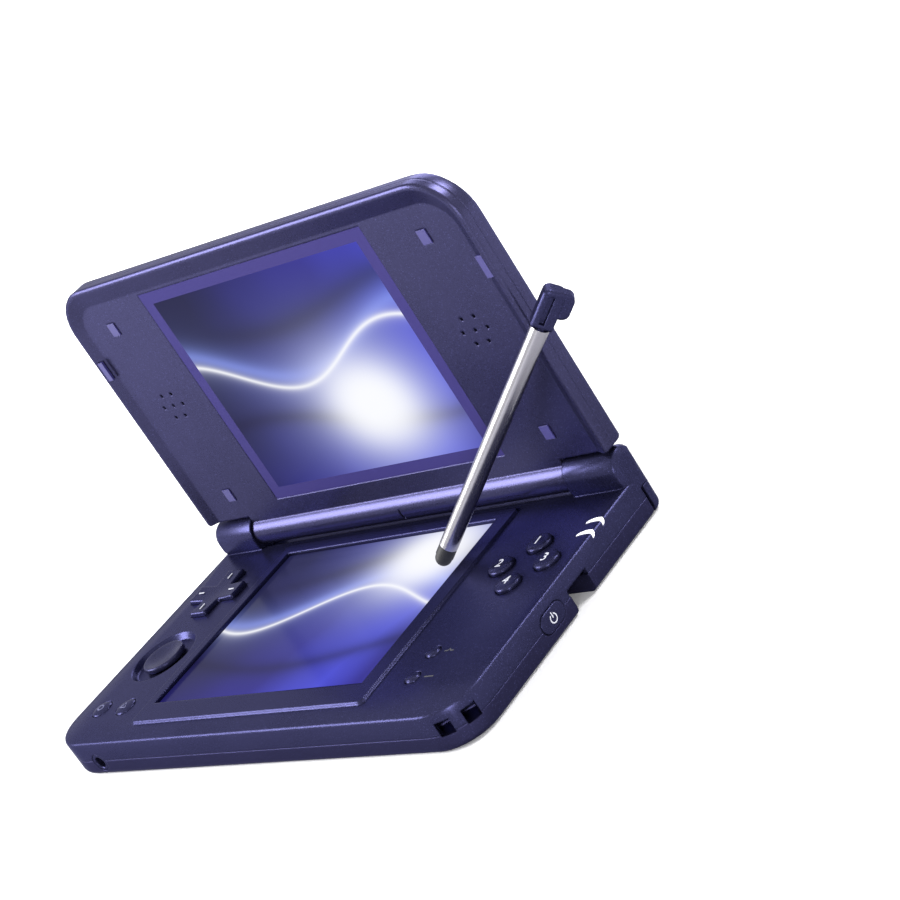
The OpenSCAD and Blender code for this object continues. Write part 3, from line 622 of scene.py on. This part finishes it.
@cache
def even_shading(degrees: float) -> bpy.types.NodeTree:
    """Makes the modifier that joins a node's facets and shades its gentle edges smooth.

    Args:
        degrees: Edges under this angle are shaded smooth.

    Returns:
        The modifier's node group.
    """
    group = bpy.data.node_groups.new("even_shading", "GeometryNodeTree")
    group.interface.new_socket("Geometry", in_out="INPUT", socket_type="NodeSocketGeometry")
    group.interface.new_socket("Geometry", in_out="OUTPUT", socket_type="NodeSocketGeometry")
    kinds = ("NodeGroupInput", "GeometryNodeMergeByDistance", "GeometryNodeSetShadeSmooth",
             "GeometryNodeSetShadeSmooth", "NodeGroupOutput")
    chain = [group.nodes.new(kind) for kind in kinds]
    chain[1].inputs["Distance"].default_value = NODE_WELD_MM * MM
    chain[2].domain = "FACE"
    chain[3].domain = "EDGE"
    for before, after in zip(chain, chain[1:]):
        group.links.new(before.outputs[0], after.inputs[0])
    angle = group.nodes.new("GeometryNodeInputMeshEdgeAngle")
    gentle = group.nodes.new("FunctionNodeCompare")
    gentle.operation = "LESS_THAN"
    group.links.new(angle.outputs["Unsigned Angle"], gentle.inputs[0])
    gentle.inputs[1].default_value = math.radians(degrees)
    group.links.new(gentle.outputs[0], chain[3].inputs["Shade Smooth"])
    return group


def lathe(profile: Sequence[tuple[float, float]], place: Matrix, steps: int,
          ring: bool = False) -> bmesh.types.BMesh:
    """Turns a profile about an axis.

    Args:
        profile: Radius and height of each point, in millimetres, from one end of the axis to the other.
        place: Where the axis stands, as a matrix in metres.
        steps: Steps round the axis.
        ring: Whether the profile closes on itself, round an open middle.

    Returns:
        The closed mesh.
    """
    mesh = bmesh.new()
    turn = [(math.cos(angle), math.sin(angle)) for angle in (math.tau * step / steps for step in range(steps))]
    rings = []
    for radius, height in profile:
        reach = radius * MM
        around = turn if radius > TINY else [(0.0, 0.0)]
        rings.append([mesh.verts.new((reach * x, reach * y, height * MM)) for x, y in around])
    following = rings[1:] + rings[:1] if ring else rings[1:]
    for lower, upper in zip(rings, following):
        for step in range(steps):
            after = (step + 1) % steps
            corners = [lower[step % len(lower)], lower[after % len(lower)],
                       upper[after % len(upper)], upper[step % len(upper)]]
            mesh.faces.new(list(dict.fromkeys(corners)))
    for end in (rings[0], rings[-1]):
        if len(end) > 1 and not ring:
            mesh.faces.new(end)
    mesh.transform(place)
    return mesh


def rounded(centre: tuple[float, float], radius: float, start: float, end: float,
            steps: int = 6) -> list[tuple[float, float]]:
    """Lists the points of an arc.

    Args:
        centre: Its centre.
        radius: Its radius.
        start: First angle, in degrees.
        end: Last angle, in degrees.
        steps: Steps along it.

    Returns:
        The points.
    """
    angles = [math.radians(start + (end - start) * step / steps) for step in range(steps + 1)]
    return [(centre[0] + radius * math.cos(a), centre[1] + radius * math.sin(a)) for a in angles]


def standing(place: Point, turn: Matrix | None = None) -> Matrix:
    """Makes the matrix that stands a drawing at a place.

    Args:
        place: The place, in metres.
        turn: A turn that comes first.

    Returns:
        The matrix.
    """
    return Matrix.Translation(Vector(place)) @ (turn.to_4x4() if turn else Matrix.Identity(4))


def strip(path: Sequence[tuple[float, float]], width: float, height: float, place: Matrix) -> bmesh.types.BMesh:
    """Draws a thin raised line with round ends along a flat path.

    Args:
        path: Its points, in millimetres.
        width: Its width, in millimetres.
        height: How far it stands out, in millimetres.
        place: Where it lies, as a matrix in metres.

    Returns:
        The mesh.
    """
    mesh = bmesh.new()
    half = width / 2
    points = [Vector(point) for point in path]
    ways = [(b - a).normalized() for a, b in zip(points, points[1:])]
    sides = []
    for index, point in enumerate(points):
        way = (ways[max(index - 1, 0)] + ways[min(index, len(ways) - 1)]).normalized()
        sides.append((point, Vector((-way.y, way.x)) * half))
    start = math.degrees(math.atan2(ways[0].y, ways[0].x))
    end = math.degrees(math.atan2(ways[-1].y, ways[-1].x))
    outline = [tuple(point + side) for point, side in reversed(sides[1:-1])]
    outline = (rounded(tuple(points[-1]), half, end - 90, end + 90) + outline
               + rounded(tuple(points[0]), half, start + 90, start + 270)
               + [tuple(point - side) for point, side in sides[1:-1]])
    face = mesh.faces.new([mesh.verts.new((x * MM, y * MM, 0)) for x, y in outline])
    grown = bmesh.ops.extrude_face_region(mesh, geom=[face])
    bmesh.ops.translate(mesh, vec=(0, 0, height * MM),
                        verts=[item for item in grown["geom"] if isinstance(item, bmesh.types.BMVert)])
    mesh.transform(place)
    return mesh


# ---------------------------------------------------------------- shared finishes

SHELL = SatinPaint("satin_shell")
# Painted light: the lid's shells take a lighter copy of the shell's paint, for the light that falls on the lid.
SHELL_LID_PAINTED_LIT = SatinPaint("satin_lid_painted_lit", tone=Tone.SHELL_PAINTED_LIT)
# Painted shade: the lower shell takes a darker copy of the shell's paint, for the shade on the underside.
SHELL_LOW_PAINTED_SHADE = SatinPaint("satin_underside_painted_shade", tone=Tone.SHELL_PAINTED_SHADE, gloss=0.36)
KEYS = SatinPaint("satin_keys", tone=Tone.KEY, metal=0.75, gloss=0.26, grain_depth=0.08)
CAP = SatinPaint("satin_cap", tone=Tone.KEY, metal=0.5, gloss=0.3, grain_depth=0.1)
PADS = Moulded("soft_pads", tone=Tone.PAD, gloss=0.45)
RUBBER = Moulded("black_rubber", tone=Tone.RUBBER, gloss=0.6)
DARK = Moulded("dark_plastic", tone=Tone.BLACK, gloss=0.45)
BOARD = Moulded("solder_mask", tone=Tone.BOARD, gloss=0.35, coat=0.4)
INK = Moulded("pale_ink", tone=Tone.MARK, gloss=0.5)
FAINT_INK = Moulded("faint_ink", tone=Tone.FAINT, gloss=0.5)
STEEL = Steel("brushed_steel")
LIGHT = LightPipe("milky_light")


# ---------------------------------------------------------------- the console


@dataclass
class Base(Assembly):
    """The lower half: its casing, touch screen, ports and what it holds inside."""

    screen_edge: float = 2.0
    jack_ring: float = 2.7
    jack_bore: float = 1.84
    ring_depth: float = 1.0
    ring_gap: float = 0.05

    def build(self) -> None:
        """Builds and dresses the sub-assembly."""
        self.dress(SHELL, "base_upper_shell", "strap_post", "audio_jack")
        # Painted shade: the lower shell is dressed in the darker copy of the shell's paint.
        self.dress(SHELL_LOW_PAINTED_SHADE, "base_lower_shell")
        self.dress(STEEL, "processor_shield", "tact_switches", "charging_port", "card_reader", "case_screws",
                   "hinge_pins", "hinge_cartridges")
        self.dress(DARK, "lower_display", "battery", "slide_pad_housing", "slide_pad_carriage")
        self.dress(BOARD, "main_board", "control_board")
        self.dress(RUBBER, "dpad_membrane", "face_membrane")
        self.dress(LIGHT, "status_light_pipes")
        self.light_screen()
        self.ring_jack()

    def light_screen(self) -> None:
        """Lights the touch screen."""
        glass = Extent.of("touch_panel")
        low = (glass.low.x / MM + self.screen_edge, glass.low.y / MM + self.screen_edge)
        high = (glass.high.x / MM - self.screen_edge, glass.high.y / MM - self.screen_edge)
        self.dress(Screen("lower_picture", low=low, high=high, upright=Upright.ALONG_Y, glow=(0.8, 0.84), drift=2.2),
                   "touch_panel")

    def ring_jack(self) -> None:
        """Adds the painted ring inside the headphone socket's mouth."""
        jack = Extent.of("audio_jack")
        outwards = Matrix.Rotation(math.radians(90), 3, "X")
        place = standing((jack.centre.x, jack.low.y, jack.high.z - self.jack_ring * MM), outwards)
        lip = (self.jack_ring - self.jack_bore) / 2 - self.ring_gap
        profile = [(self.jack_bore, -self.ring_depth), (self.jack_bore + 2 * lip, -self.ring_depth),
                   *rounded((self.jack_bore + lip, -lip), lip, 0, 180, 10)]
        self.add("socket_ring", lathe(profile, place, 64, ring=True), SHELL, "shell")


@dataclass
class RoundKeys(Assembly):
    """The round press buttons, each a domed cap with its flange below the deck."""

    flange: float = 0.8
    flange_height: float = 0.75
    dome: float = 0.35
    edge: float = 0.45
    number_size: float = 3.1
    number_thickness: float = 0.16
    number_sink: float = 0.03
    sign_width: float = 0.34
    sign_thickness: float = 0.14
    sign_sink: float = 0.1
    label_width: float = 0.4
    label_thickness: float = 0.04
    label_gap: float = 2.6
    deck_drop: float = 0.7

    def build(self) -> None:
        """Builds and dresses the sub-assembly."""
        for node, body, mark in (("button_top", "top_button", "1"), ("button_left", "left_button", "2"),
                                 ("button_right", "right_button", "3"), ("button_bottom", "bottom_button", "4")):
            self.key(node, body)
            self.number(node, body, mark)
        for node, body in (("start_button", "start"), ("select_button", "select"),
                           ("menu_button", "menu"), ("home_button", "home")):
            self.key(node, body)
        self.sign("menu_button", "menu", rounded((0.0, 0.0), 1.0, 60, 390, 24))
        self.sign("home_button", "home", [(-1.1, -0.8), (1.1, -0.8), (0.0, 1.0), (-0.9, -0.5)])
        self.label("start_button", [(-1.4, 0.0), (-0.5, 0.0), (0.0, 0.7), (0.5, 0.0), (1.4, 0.0)])
        self.label("select_button", [(-1.4, 0.0), (1.4, 0.0)])

    def key(self, node: str, body: str) -> None:
        """Builds one button in place of its CAD node.

        Args:
            node: The CAD node.
            body: The body that it rides on.
        """
        extent = Extent.of(node)
        radius = extent.size.x / 2 / MM - self.flange
        top = extent.size.z / MM
        shoulder = top - self.dome - self.edge
        dome = [(radius * part, top - self.dome * part ** 2.2) for part in (0.8, 0.6, 0.4, 0.2)]
        profile = [(0.0, 0.0), (radius + self.flange, 0.0), (radius + self.flange, self.flange_height),
                   (radius, self.flange_height), (radius, shoulder),
                   *rounded((radius - self.edge, shoulder), self.edge, 8, 80, 6), *dome, (0.0, top)]
        place = standing((extent.centre.x, extent.centre.y, extent.low.z))
        self.add(node + "_cap", lathe(profile, place, 64), KEYS, "keys", body, (node,))

    def number(self, node: str, body: str, mark: str) -> None:
        """Prints a plain number on a button.

        Args:
            node: The CAD node of the button.
            body: The body that it rides on.
            mark: The number.
        """
        extent = Extent.of(node)
        place = standing((extent.centre.x, extent.centre.y, extent.high.z - self.number_sink * MM))
        mesh = printed(mark, self.number_size, self.number_thickness, place)
        self.add(node + "_number", mesh, INK, "light_pipe", body)

    def sign(self, node: str, body: str, path: Sequence[tuple[float, float]]) -> None:
        """Draws a faint sign on a button.

        Args:
            node: The CAD node of the button.
            body: The body that it rides on.
            path: The sign's line, in millimetres from the button's middle.
        """
        extent = Extent.of(node)
        place = standing((extent.centre.x, extent.centre.y, extent.high.z - self.sign_sink * MM))
        mesh = strip(path, self.sign_width, self.sign_thickness, place)
        self.add(node + "_sign", mesh, FAINT_INK, "light_pipe", body)

    def label(self, node: str, path: Sequence[tuple[float, float]]) -> None:
        """Prints a small dark sign on the deck beside a button.

        Args:
            node: The CAD node of the button.
            path: The sign's line, in millimetres from its own middle.
        """
        extent = Extent.of(node)
        deck = extent.high.z - self.deck_drop * MM
        place = standing((extent.high.x + self.label_gap * MM, extent.centre.y, deck))
        self.add(node + "_label", strip(path, self.label_width, self.label_thickness, place), DARK, "rubber")


def printed(text: str, size: float, height: float, place: Matrix) -> bmesh.types.BMesh:
    """Draws a number as a thin raised print.

    Args:
        text: The number.
        size: Its height, in millimetres.
        height: How far it stands out, in millimetres.
        place: Where it lies, as a matrix in metres.

    Returns:
        The mesh.
    """
    curve = bpy.data.curves.new("number", "FONT")
    curve.body = text
    curve.size = size * MM * FONT_SIZE_PER_HEIGHT
    curve.extrude = height / 2 * MM
    curve.align_x = "CENTER"
    curve.align_y = "CENTER"
    curve.resolution_u = 6
    holder = bpy.data.objects.new("number", curve)
    bpy.context.scene.collection.objects.link(holder)
    depsgraph = bpy.context.evaluated_depsgraph_get()
    mesh = bmesh.new()
    data = bpy.data.meshes.new_from_object(holder.evaluated_get(depsgraph))
    mesh.from_mesh(data)
    bmesh.ops.remove_doubles(mesh, verts=mesh.verts[:], dist=PRINT_WELD_MM * MM)
    bpy.data.objects.remove(holder)
    mesh.transform(place)
    return mesh


@dataclass
class DirectionPad(Assembly):
    """The cross-shaped pad, whose arms rise towards their ends, each with a small mark."""

    arm: float = 6.8
    cells: int = 8
    edge: float = 0.5
    hollow: float = 0.55
    lower_height: float = 0.7
    flat_below: float = 1.5
    corner_turn_rad: float = 1.0
    mark_length: float = 2.0
    mark_inset: float = 2.0
    mark_width: float = 0.42
    mark_thickness: float = 0.16
    mark_sink: float = 0.13

    def build(self) -> None:
        """Builds and dresses the sub-assembly."""
        self.dress(KEYS, "dpad_pivot")
        self.cross()
        self.marks()

    def rise(self, distance: float) -> float:
        """Gives the height that the top loses at a distance from the middle.

        Args:
            distance: The distance, as a share of the pad's half span.

        Returns:
            The lost height, in millimetres.
        """
        return self.hollow * (1 - min(distance, 1.0) ** 1.6)

    def cross(self) -> None:
        """Builds the cross in place of its CAD node."""
        extent = Extent.of("dpad")
        half = extent.size.x / 2 / MM
        reach = (half - self.arm / 2) / self.cells
        inner = [-self.arm / 2 + self.arm * step / self.cells for step in range(self.cells + 1)]
        outer = [self.arm / 2 + reach * step for step in range(1, self.cells + 1)]
        lines = [-value for value in reversed(outer)] + inner + outer
        mesh = bmesh.new()
        grid = {}
        for i, x in enumerate(lines):
            for j, y in enumerate(lines):
                if min(abs(x), abs(y)) <= self.arm / 2 + TINY:
                    grid[i, j] = mesh.verts.new((x * MM, y * MM, extent.size.z))
        for i in range(len(lines) - 1):
            for j in range(len(lines) - 1):
                corners = [(i, j), (i + 1, j), (i + 1, j + 1), (i, j + 1)]
                middle = (lines[i] + lines[i + 1]) / 2, (lines[j] + lines[j + 1]) / 2
                if all(c in grid for c in corners) and min(map(abs, middle)) < self.arm / 2:
                    mesh.faces.new([grid[c] for c in corners])
        rim = [edge for edge in mesh.edges if edge.is_boundary]
        grown = bmesh.ops.extrude_edge_only(mesh, edges=rim)
        skirt = [item for item in grown["geom"] if isinstance(item, bmesh.types.BMVert)]
        for vert in skirt:
            vert.co.z = self.lower_height * MM
        bmesh.ops.holes_fill(mesh, edges=[edge for edge in mesh.edges if edge.is_boundary])
        edges = {edge for vert in skirt for edge in vert.link_edges}
        uprights = [edge for edge in edges if abs(edge.verts[0].co.z - edge.verts[1].co.z) > MM]
        corners = [edge for edge in uprights if self._turns(edge)]
        bmesh.ops.bevel(mesh, geom=rim + corners, offset=self.edge * MM, segments=4, profile=0.5, affect="EDGES")
        for vert in mesh.verts:
            if vert.co.z > self.flat_below * MM:
                vert.co.z -= self.rise(vert.co.xy.length / MM / half) * MM
        mesh.transform(standing((extent.centre.x, extent.centre.y, extent.low.z)))
        self.add("dpad_cross", mesh, KEYS, "keys", "direction_pad", ("dpad",))

    def _turns(self, edge: bmesh.types.BMEdge) -> bool:
        """Says whether an upright edge stands at a corner of the cross."""
        return len(edge.link_faces) == 2 and edge.calc_face_angle(0.0) > self.corner_turn_rad

    def marks(self) -> None:
        """Adds the small marks near the arms' ends."""
        extent = Extent.of("dpad")
        top = extent.high.z - self.mark_sink * MM
        end = extent.size.x / 2 / MM - self.mark_inset
        path = [(end - self.mark_length, 0.0), (end, 0.0)]
        for quarter in range(4):
            turn = Matrix.Rotation(math.radians(90 * quarter), 3, "Z")
            place = standing((extent.centre.x, extent.centre.y, top), turn)
            mesh = strip(path, self.mark_width, self.mark_thickness, place)
            self.add(f"dpad_mark_{quarter + 1}", mesh, INK, "light_pipe", "direction_pad")


@dataclass
class SlidePad(Assembly):
    """The round slide pad: a dished cap with a raised rim."""

    stem: float = 2.6
    rim: float = 0.55
    dish: float = 0.95
    depth: float = 1.7
    lower_edge: float = 0.4

    def build(self) -> None:
        """Builds the cap in place of its CAD node."""
        extent = Extent.of("slide_pad_cap")
        radius = extent.size.x / 2 / MM
        top = extent.size.z / MM
        under = top - self.depth
        bowl = [((radius - 2 * self.rim) * part, top - self.dish * (1 - part ** 2)) for part in
                (0.97, 0.9, 0.8, 0.65, 0.5, 0.35, 0.2)]
        profile = [(0.0, 0.0), (self.stem, 0.0), (self.stem, under), (radius - self.lower_edge, under),
                   *rounded((radius - self.lower_edge, under + self.lower_edge), self.lower_edge, -60, 0, 4),
                   *rounded((radius - self.rim, top - self.rim), self.rim, 0, 120, 8), *bowl,
                   (0.0, top - self.dish)]
        place = standing((extent.centre.x, extent.centre.y, extent.low.z))
        self.add("slide_pad_dish", lathe(profile, place, 96), CAP, "keys", "slide_pad", ("slide_pad_cap",))


@dataclass
class SideControls(Assembly):
    """The power button with its mark, the volume rocker and the shoulder buttons."""

    mark_radius: float = 1.15
    mark_width: float = 0.32
    mark_thickness: float = 0.06
    mark_sink: float = 0.02
    mark_drop: float = 0.15
    stroke_ends: tuple[float, float] = (0.25, 1.55)

    def build(self) -> None:
        """Builds and dresses the sub-assembly."""
        self.dress(SHELL, "power_button", "volume_rocker", "shoulder_button_left", "shoulder_button_right")
        self.power_mark()

    def power_mark(self) -> None:
        """Adds the ring and stroke on the power button."""
        button = Extent.of("power_button")
        turn = Matrix(((0, 0, 1), (1, 0, 0), (0, 1, 0)))
        face = button.high.x - self.mark_sink * MM
        place = standing((face, button.centre.y, button.centre.z - self.mark_drop * MM), turn)
        ring = rounded((0.0, 0.0), self.mark_radius, 125, 415, 24)
        stroke = [(0.0, height) for height in self.stroke_ends]
        for name, path in (("power_ring", ring), ("power_stroke", stroke)):
            self.add(name, strip(path, self.mark_width, self.mark_thickness, place), INK, "light_pipe", "power")


@dataclass
class Lid(Assembly):
    """The upper half: its two shells, the lit screen and its small fittings."""

    body: str = "lid"
    window_side: float = 3.8
    window_end: float = 3.6
    bezel_smooth_deg: float = 16.0

    def build(self) -> None:
        """Builds and dresses the sub-assembly."""
        self.dress(SHELL_LID_PAINTED_LIT, "lid_outer_shell")
        self.dress(SHELL_LID_PAINTED_LIT, "lid_bezel", smooth=self.bezel_smooth_deg)
        self.dress(PADS, "corner_bumpers", "rim_stops")
        self.dress(DARK, "speakers", "upper_display")
        self.dress(STEEL, "microphone")
        self.dress(BOARD, "display_flex")
        glass = Extent.of("upper_window")
        low = (glass.low.x / MM + self.window_side, glass.low.z / MM + self.window_end)
        high = (glass.high.x / MM - self.window_side, glass.high.z / MM - self.window_end)
        self.dress(Screen("upper_picture", low=low, high=high, upright=Upright.ALONG_Z, glow=(0.66, 0.3), drift=0.4),
                   "upper_window")


@dataclass
class Stylus(Assembly):
    """The stylus: its head, steel shaft and soft tip."""

    body: str = "stylus"

    def build(self) -> None:
        """Builds and dresses the sub-assembly."""
        self.dress(SHELL, "stylus_head")
        self.dress(Steel("shaft_steel", tone=Tone.SHAFT, gloss=0.24), "stylus_shaft")
        self.dress(RUBBER, "stylus_tip")


# ---------------------------------------------------------------- studio


@dataclass(frozen=True)
class Lamp:
    """A soft round lamp that looks at the console, in metres and watts."""

    name: str
    place: Point
    size: float
    power: float

    def hang(self, target: Point) -> None:
        """Hangs the lamp so that it looks at a target.

        Args:
            target: The target, in metres.
        """
        data = bpy.data.lights.new(self.name, "AREA")
        data.shape = "DISK"
        data.size = self.size
        data.energy = self.power
        lamp = bpy.data.objects.new(self.name, data)
        aim = (Vector(target) - Vector(self.place)).to_track_quat("-Z", "Y").to_matrix()
        lamp.matrix_world = standing(self.place, aim)
        bpy.context.scene.collection.objects.link(lamp)


LAMPS = (
    Lamp("key", place=(-1.05, -0.7, 0.85), size=0.9, power=36.0),
    Lamp("back", place=(-0.5, 1.0, 0.55), size=0.6, power=6.0),
    Lamp("corner", place=(0.95, -1.15, 0.22), size=0.45, power=9.0),
    Lamp("side", place=(0.45, 0.8, 0.95), size=0.5, power=14.0),
)


@dataclass
class Studio:
    """The camera, the pale floor and the soft lights."""

    camera_place: tuple[float, float, float] = (0.4535, -0.3227, 0.2316)
    view_way: tuple[float, float, float] = (-0.7157, 0.6101, -0.3399)
    roll: float = -33.0
    lens: float = 91.77
    sensor: float = 36.0
    clip: tuple[float, float] = (0.01, 50.0)
    lamp_target: tuple[float, float, float] = (0.0, 0.0, 0.04)
    floor_size: float = 12.0
    floor_drop_mm: float = 0.05
    floor_cloud_mm: float = 400.0
    floor_tones: tuple[Colour, Colour] = ((0.9, 0.9, 0.91, 1.0), (0.93, 0.93, 0.94, 1.0))
    mirrored_tone: Colour = (0.42, 0.42, 0.46, 1.0)
    clear_from_mm: float = 170.0
    clear_over_mm: float = 320.0
    near_glow: float = 0.14
    far_glow: float = 0.8
    fill: float = 0.5

    def build(self) -> None:
        """Sets up the camera, the floor, the lamps and the world."""
        self.camera()
        self.floor()
        self.world()
        for lamp in LAMPS:
            lamp.hang(self.lamp_target)
        bpy.context.scene.view_settings.view_transform = "Standard"

    def camera(self) -> None:
        """Sets up the camera."""
        data = bpy.data.cameras.new("camera")
        data.lens = self.lens
        data.sensor_width = self.sensor
        data.clip_start, data.clip_end = self.clip
        camera = bpy.data.objects.new("camera", data)
        aim = Vector(self.view_way).to_track_quat("-Z", "Y").to_matrix()
        turned = aim @ Matrix.Rotation(math.radians(self.roll), 3, "Z")
        camera.matrix_world = standing(self.camera_place, turned)
        bpy.context.scene.collection.objects.link(camera)
        bpy.context.scene.camera = camera
        LOG.info("camera set")

    def floor(self) -> None:
        """Lays the pale floor."""
        mesh = bmesh.new()
        bmesh.ops.create_grid(mesh, x_segments=4, y_segments=4, size=self.floor_size / 2)
        data = bpy.data.meshes.new("floor")
        mesh.to_mesh(data)
        mesh.free()
        floor = bpy.data.objects.new("floor", data)
        floor.location.z = -self.floor_drop_mm * MM
        bpy.context.scene.collection.objects.link(floor)
        material = bpy.data.materials.new("pale_floor")
        material.use_nodes = True
        tree = ShaderTree(material.node_tree)
        cloud = tree.noise(self.floor_cloud_mm, 1.0)
        rays = tree.add("ShaderNodeLightPath")
        glossy = tree.wire(rays, "Is Glossy Ray")
        seen = tree.wire(rays, "Is Camera Ray") + glossy + tree.wire(rays, "Is Transmission Ray")
        across, along, _ = tree.millimetres()
        far = (((across * across + along * along) ** 0.5 - self.clear_from_mm) / self.clear_over_mm).clamped()
        pale = tree.mix(cloud, *self.floor_tones)
        glow = seen.clamped() * (far * self.far_glow + self.near_glow)
        tree.surface(
            Base_Color=tree.mix(glossy, pale, self.mirrored_tone),
            Roughness=0.9,
            Emission_Color=tree.mix(glow, UNLIT, FULL_WHITE),
            Emission_Strength=1.0,
        )
        data.materials.append(material)

    def world(self) -> None:
        """Makes the soft white surroundings."""
        world = bpy.data.worlds.new("studio")
        world.use_nodes = True
        bpy.context.scene.world = world
        tree = ShaderTree(world.node_tree)
        path = tree.add("ShaderNodeLightPath")
        seen = tree.wire(path, "Is Camera Ray") + tree.wire(path, "Is Glossy Ray")
        strength = (seen + tree.wire(path, "Is Transmission Ray")).clamped() * (1.0 - self.fill) + self.fill
        background = tree.add("ShaderNodeBackground", inputs={"Color": FULL_WHITE, "Strength": strength})
        tree.add("ShaderNodeOutputWorld", inputs={"Surface": tree.wire(background)})


def main() -> None:
    """Builds the studio and the console, and logs how many pieces each sub-assembly adds."""
    logging.basicConfig(level=logging.INFO, format="%(name)s: %(message)s")
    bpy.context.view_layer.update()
    Studio().build()
    for assembly in (Base(), RoundKeys(), DirectionPad(), SlidePad(), SideControls(), Lid(), Stylus()):
        assembly.build()
        LOG.info("%s: %d pieces added", type(assembly).__name__, len(assembly.pieces))


if __name__ == "__main__":
    main()
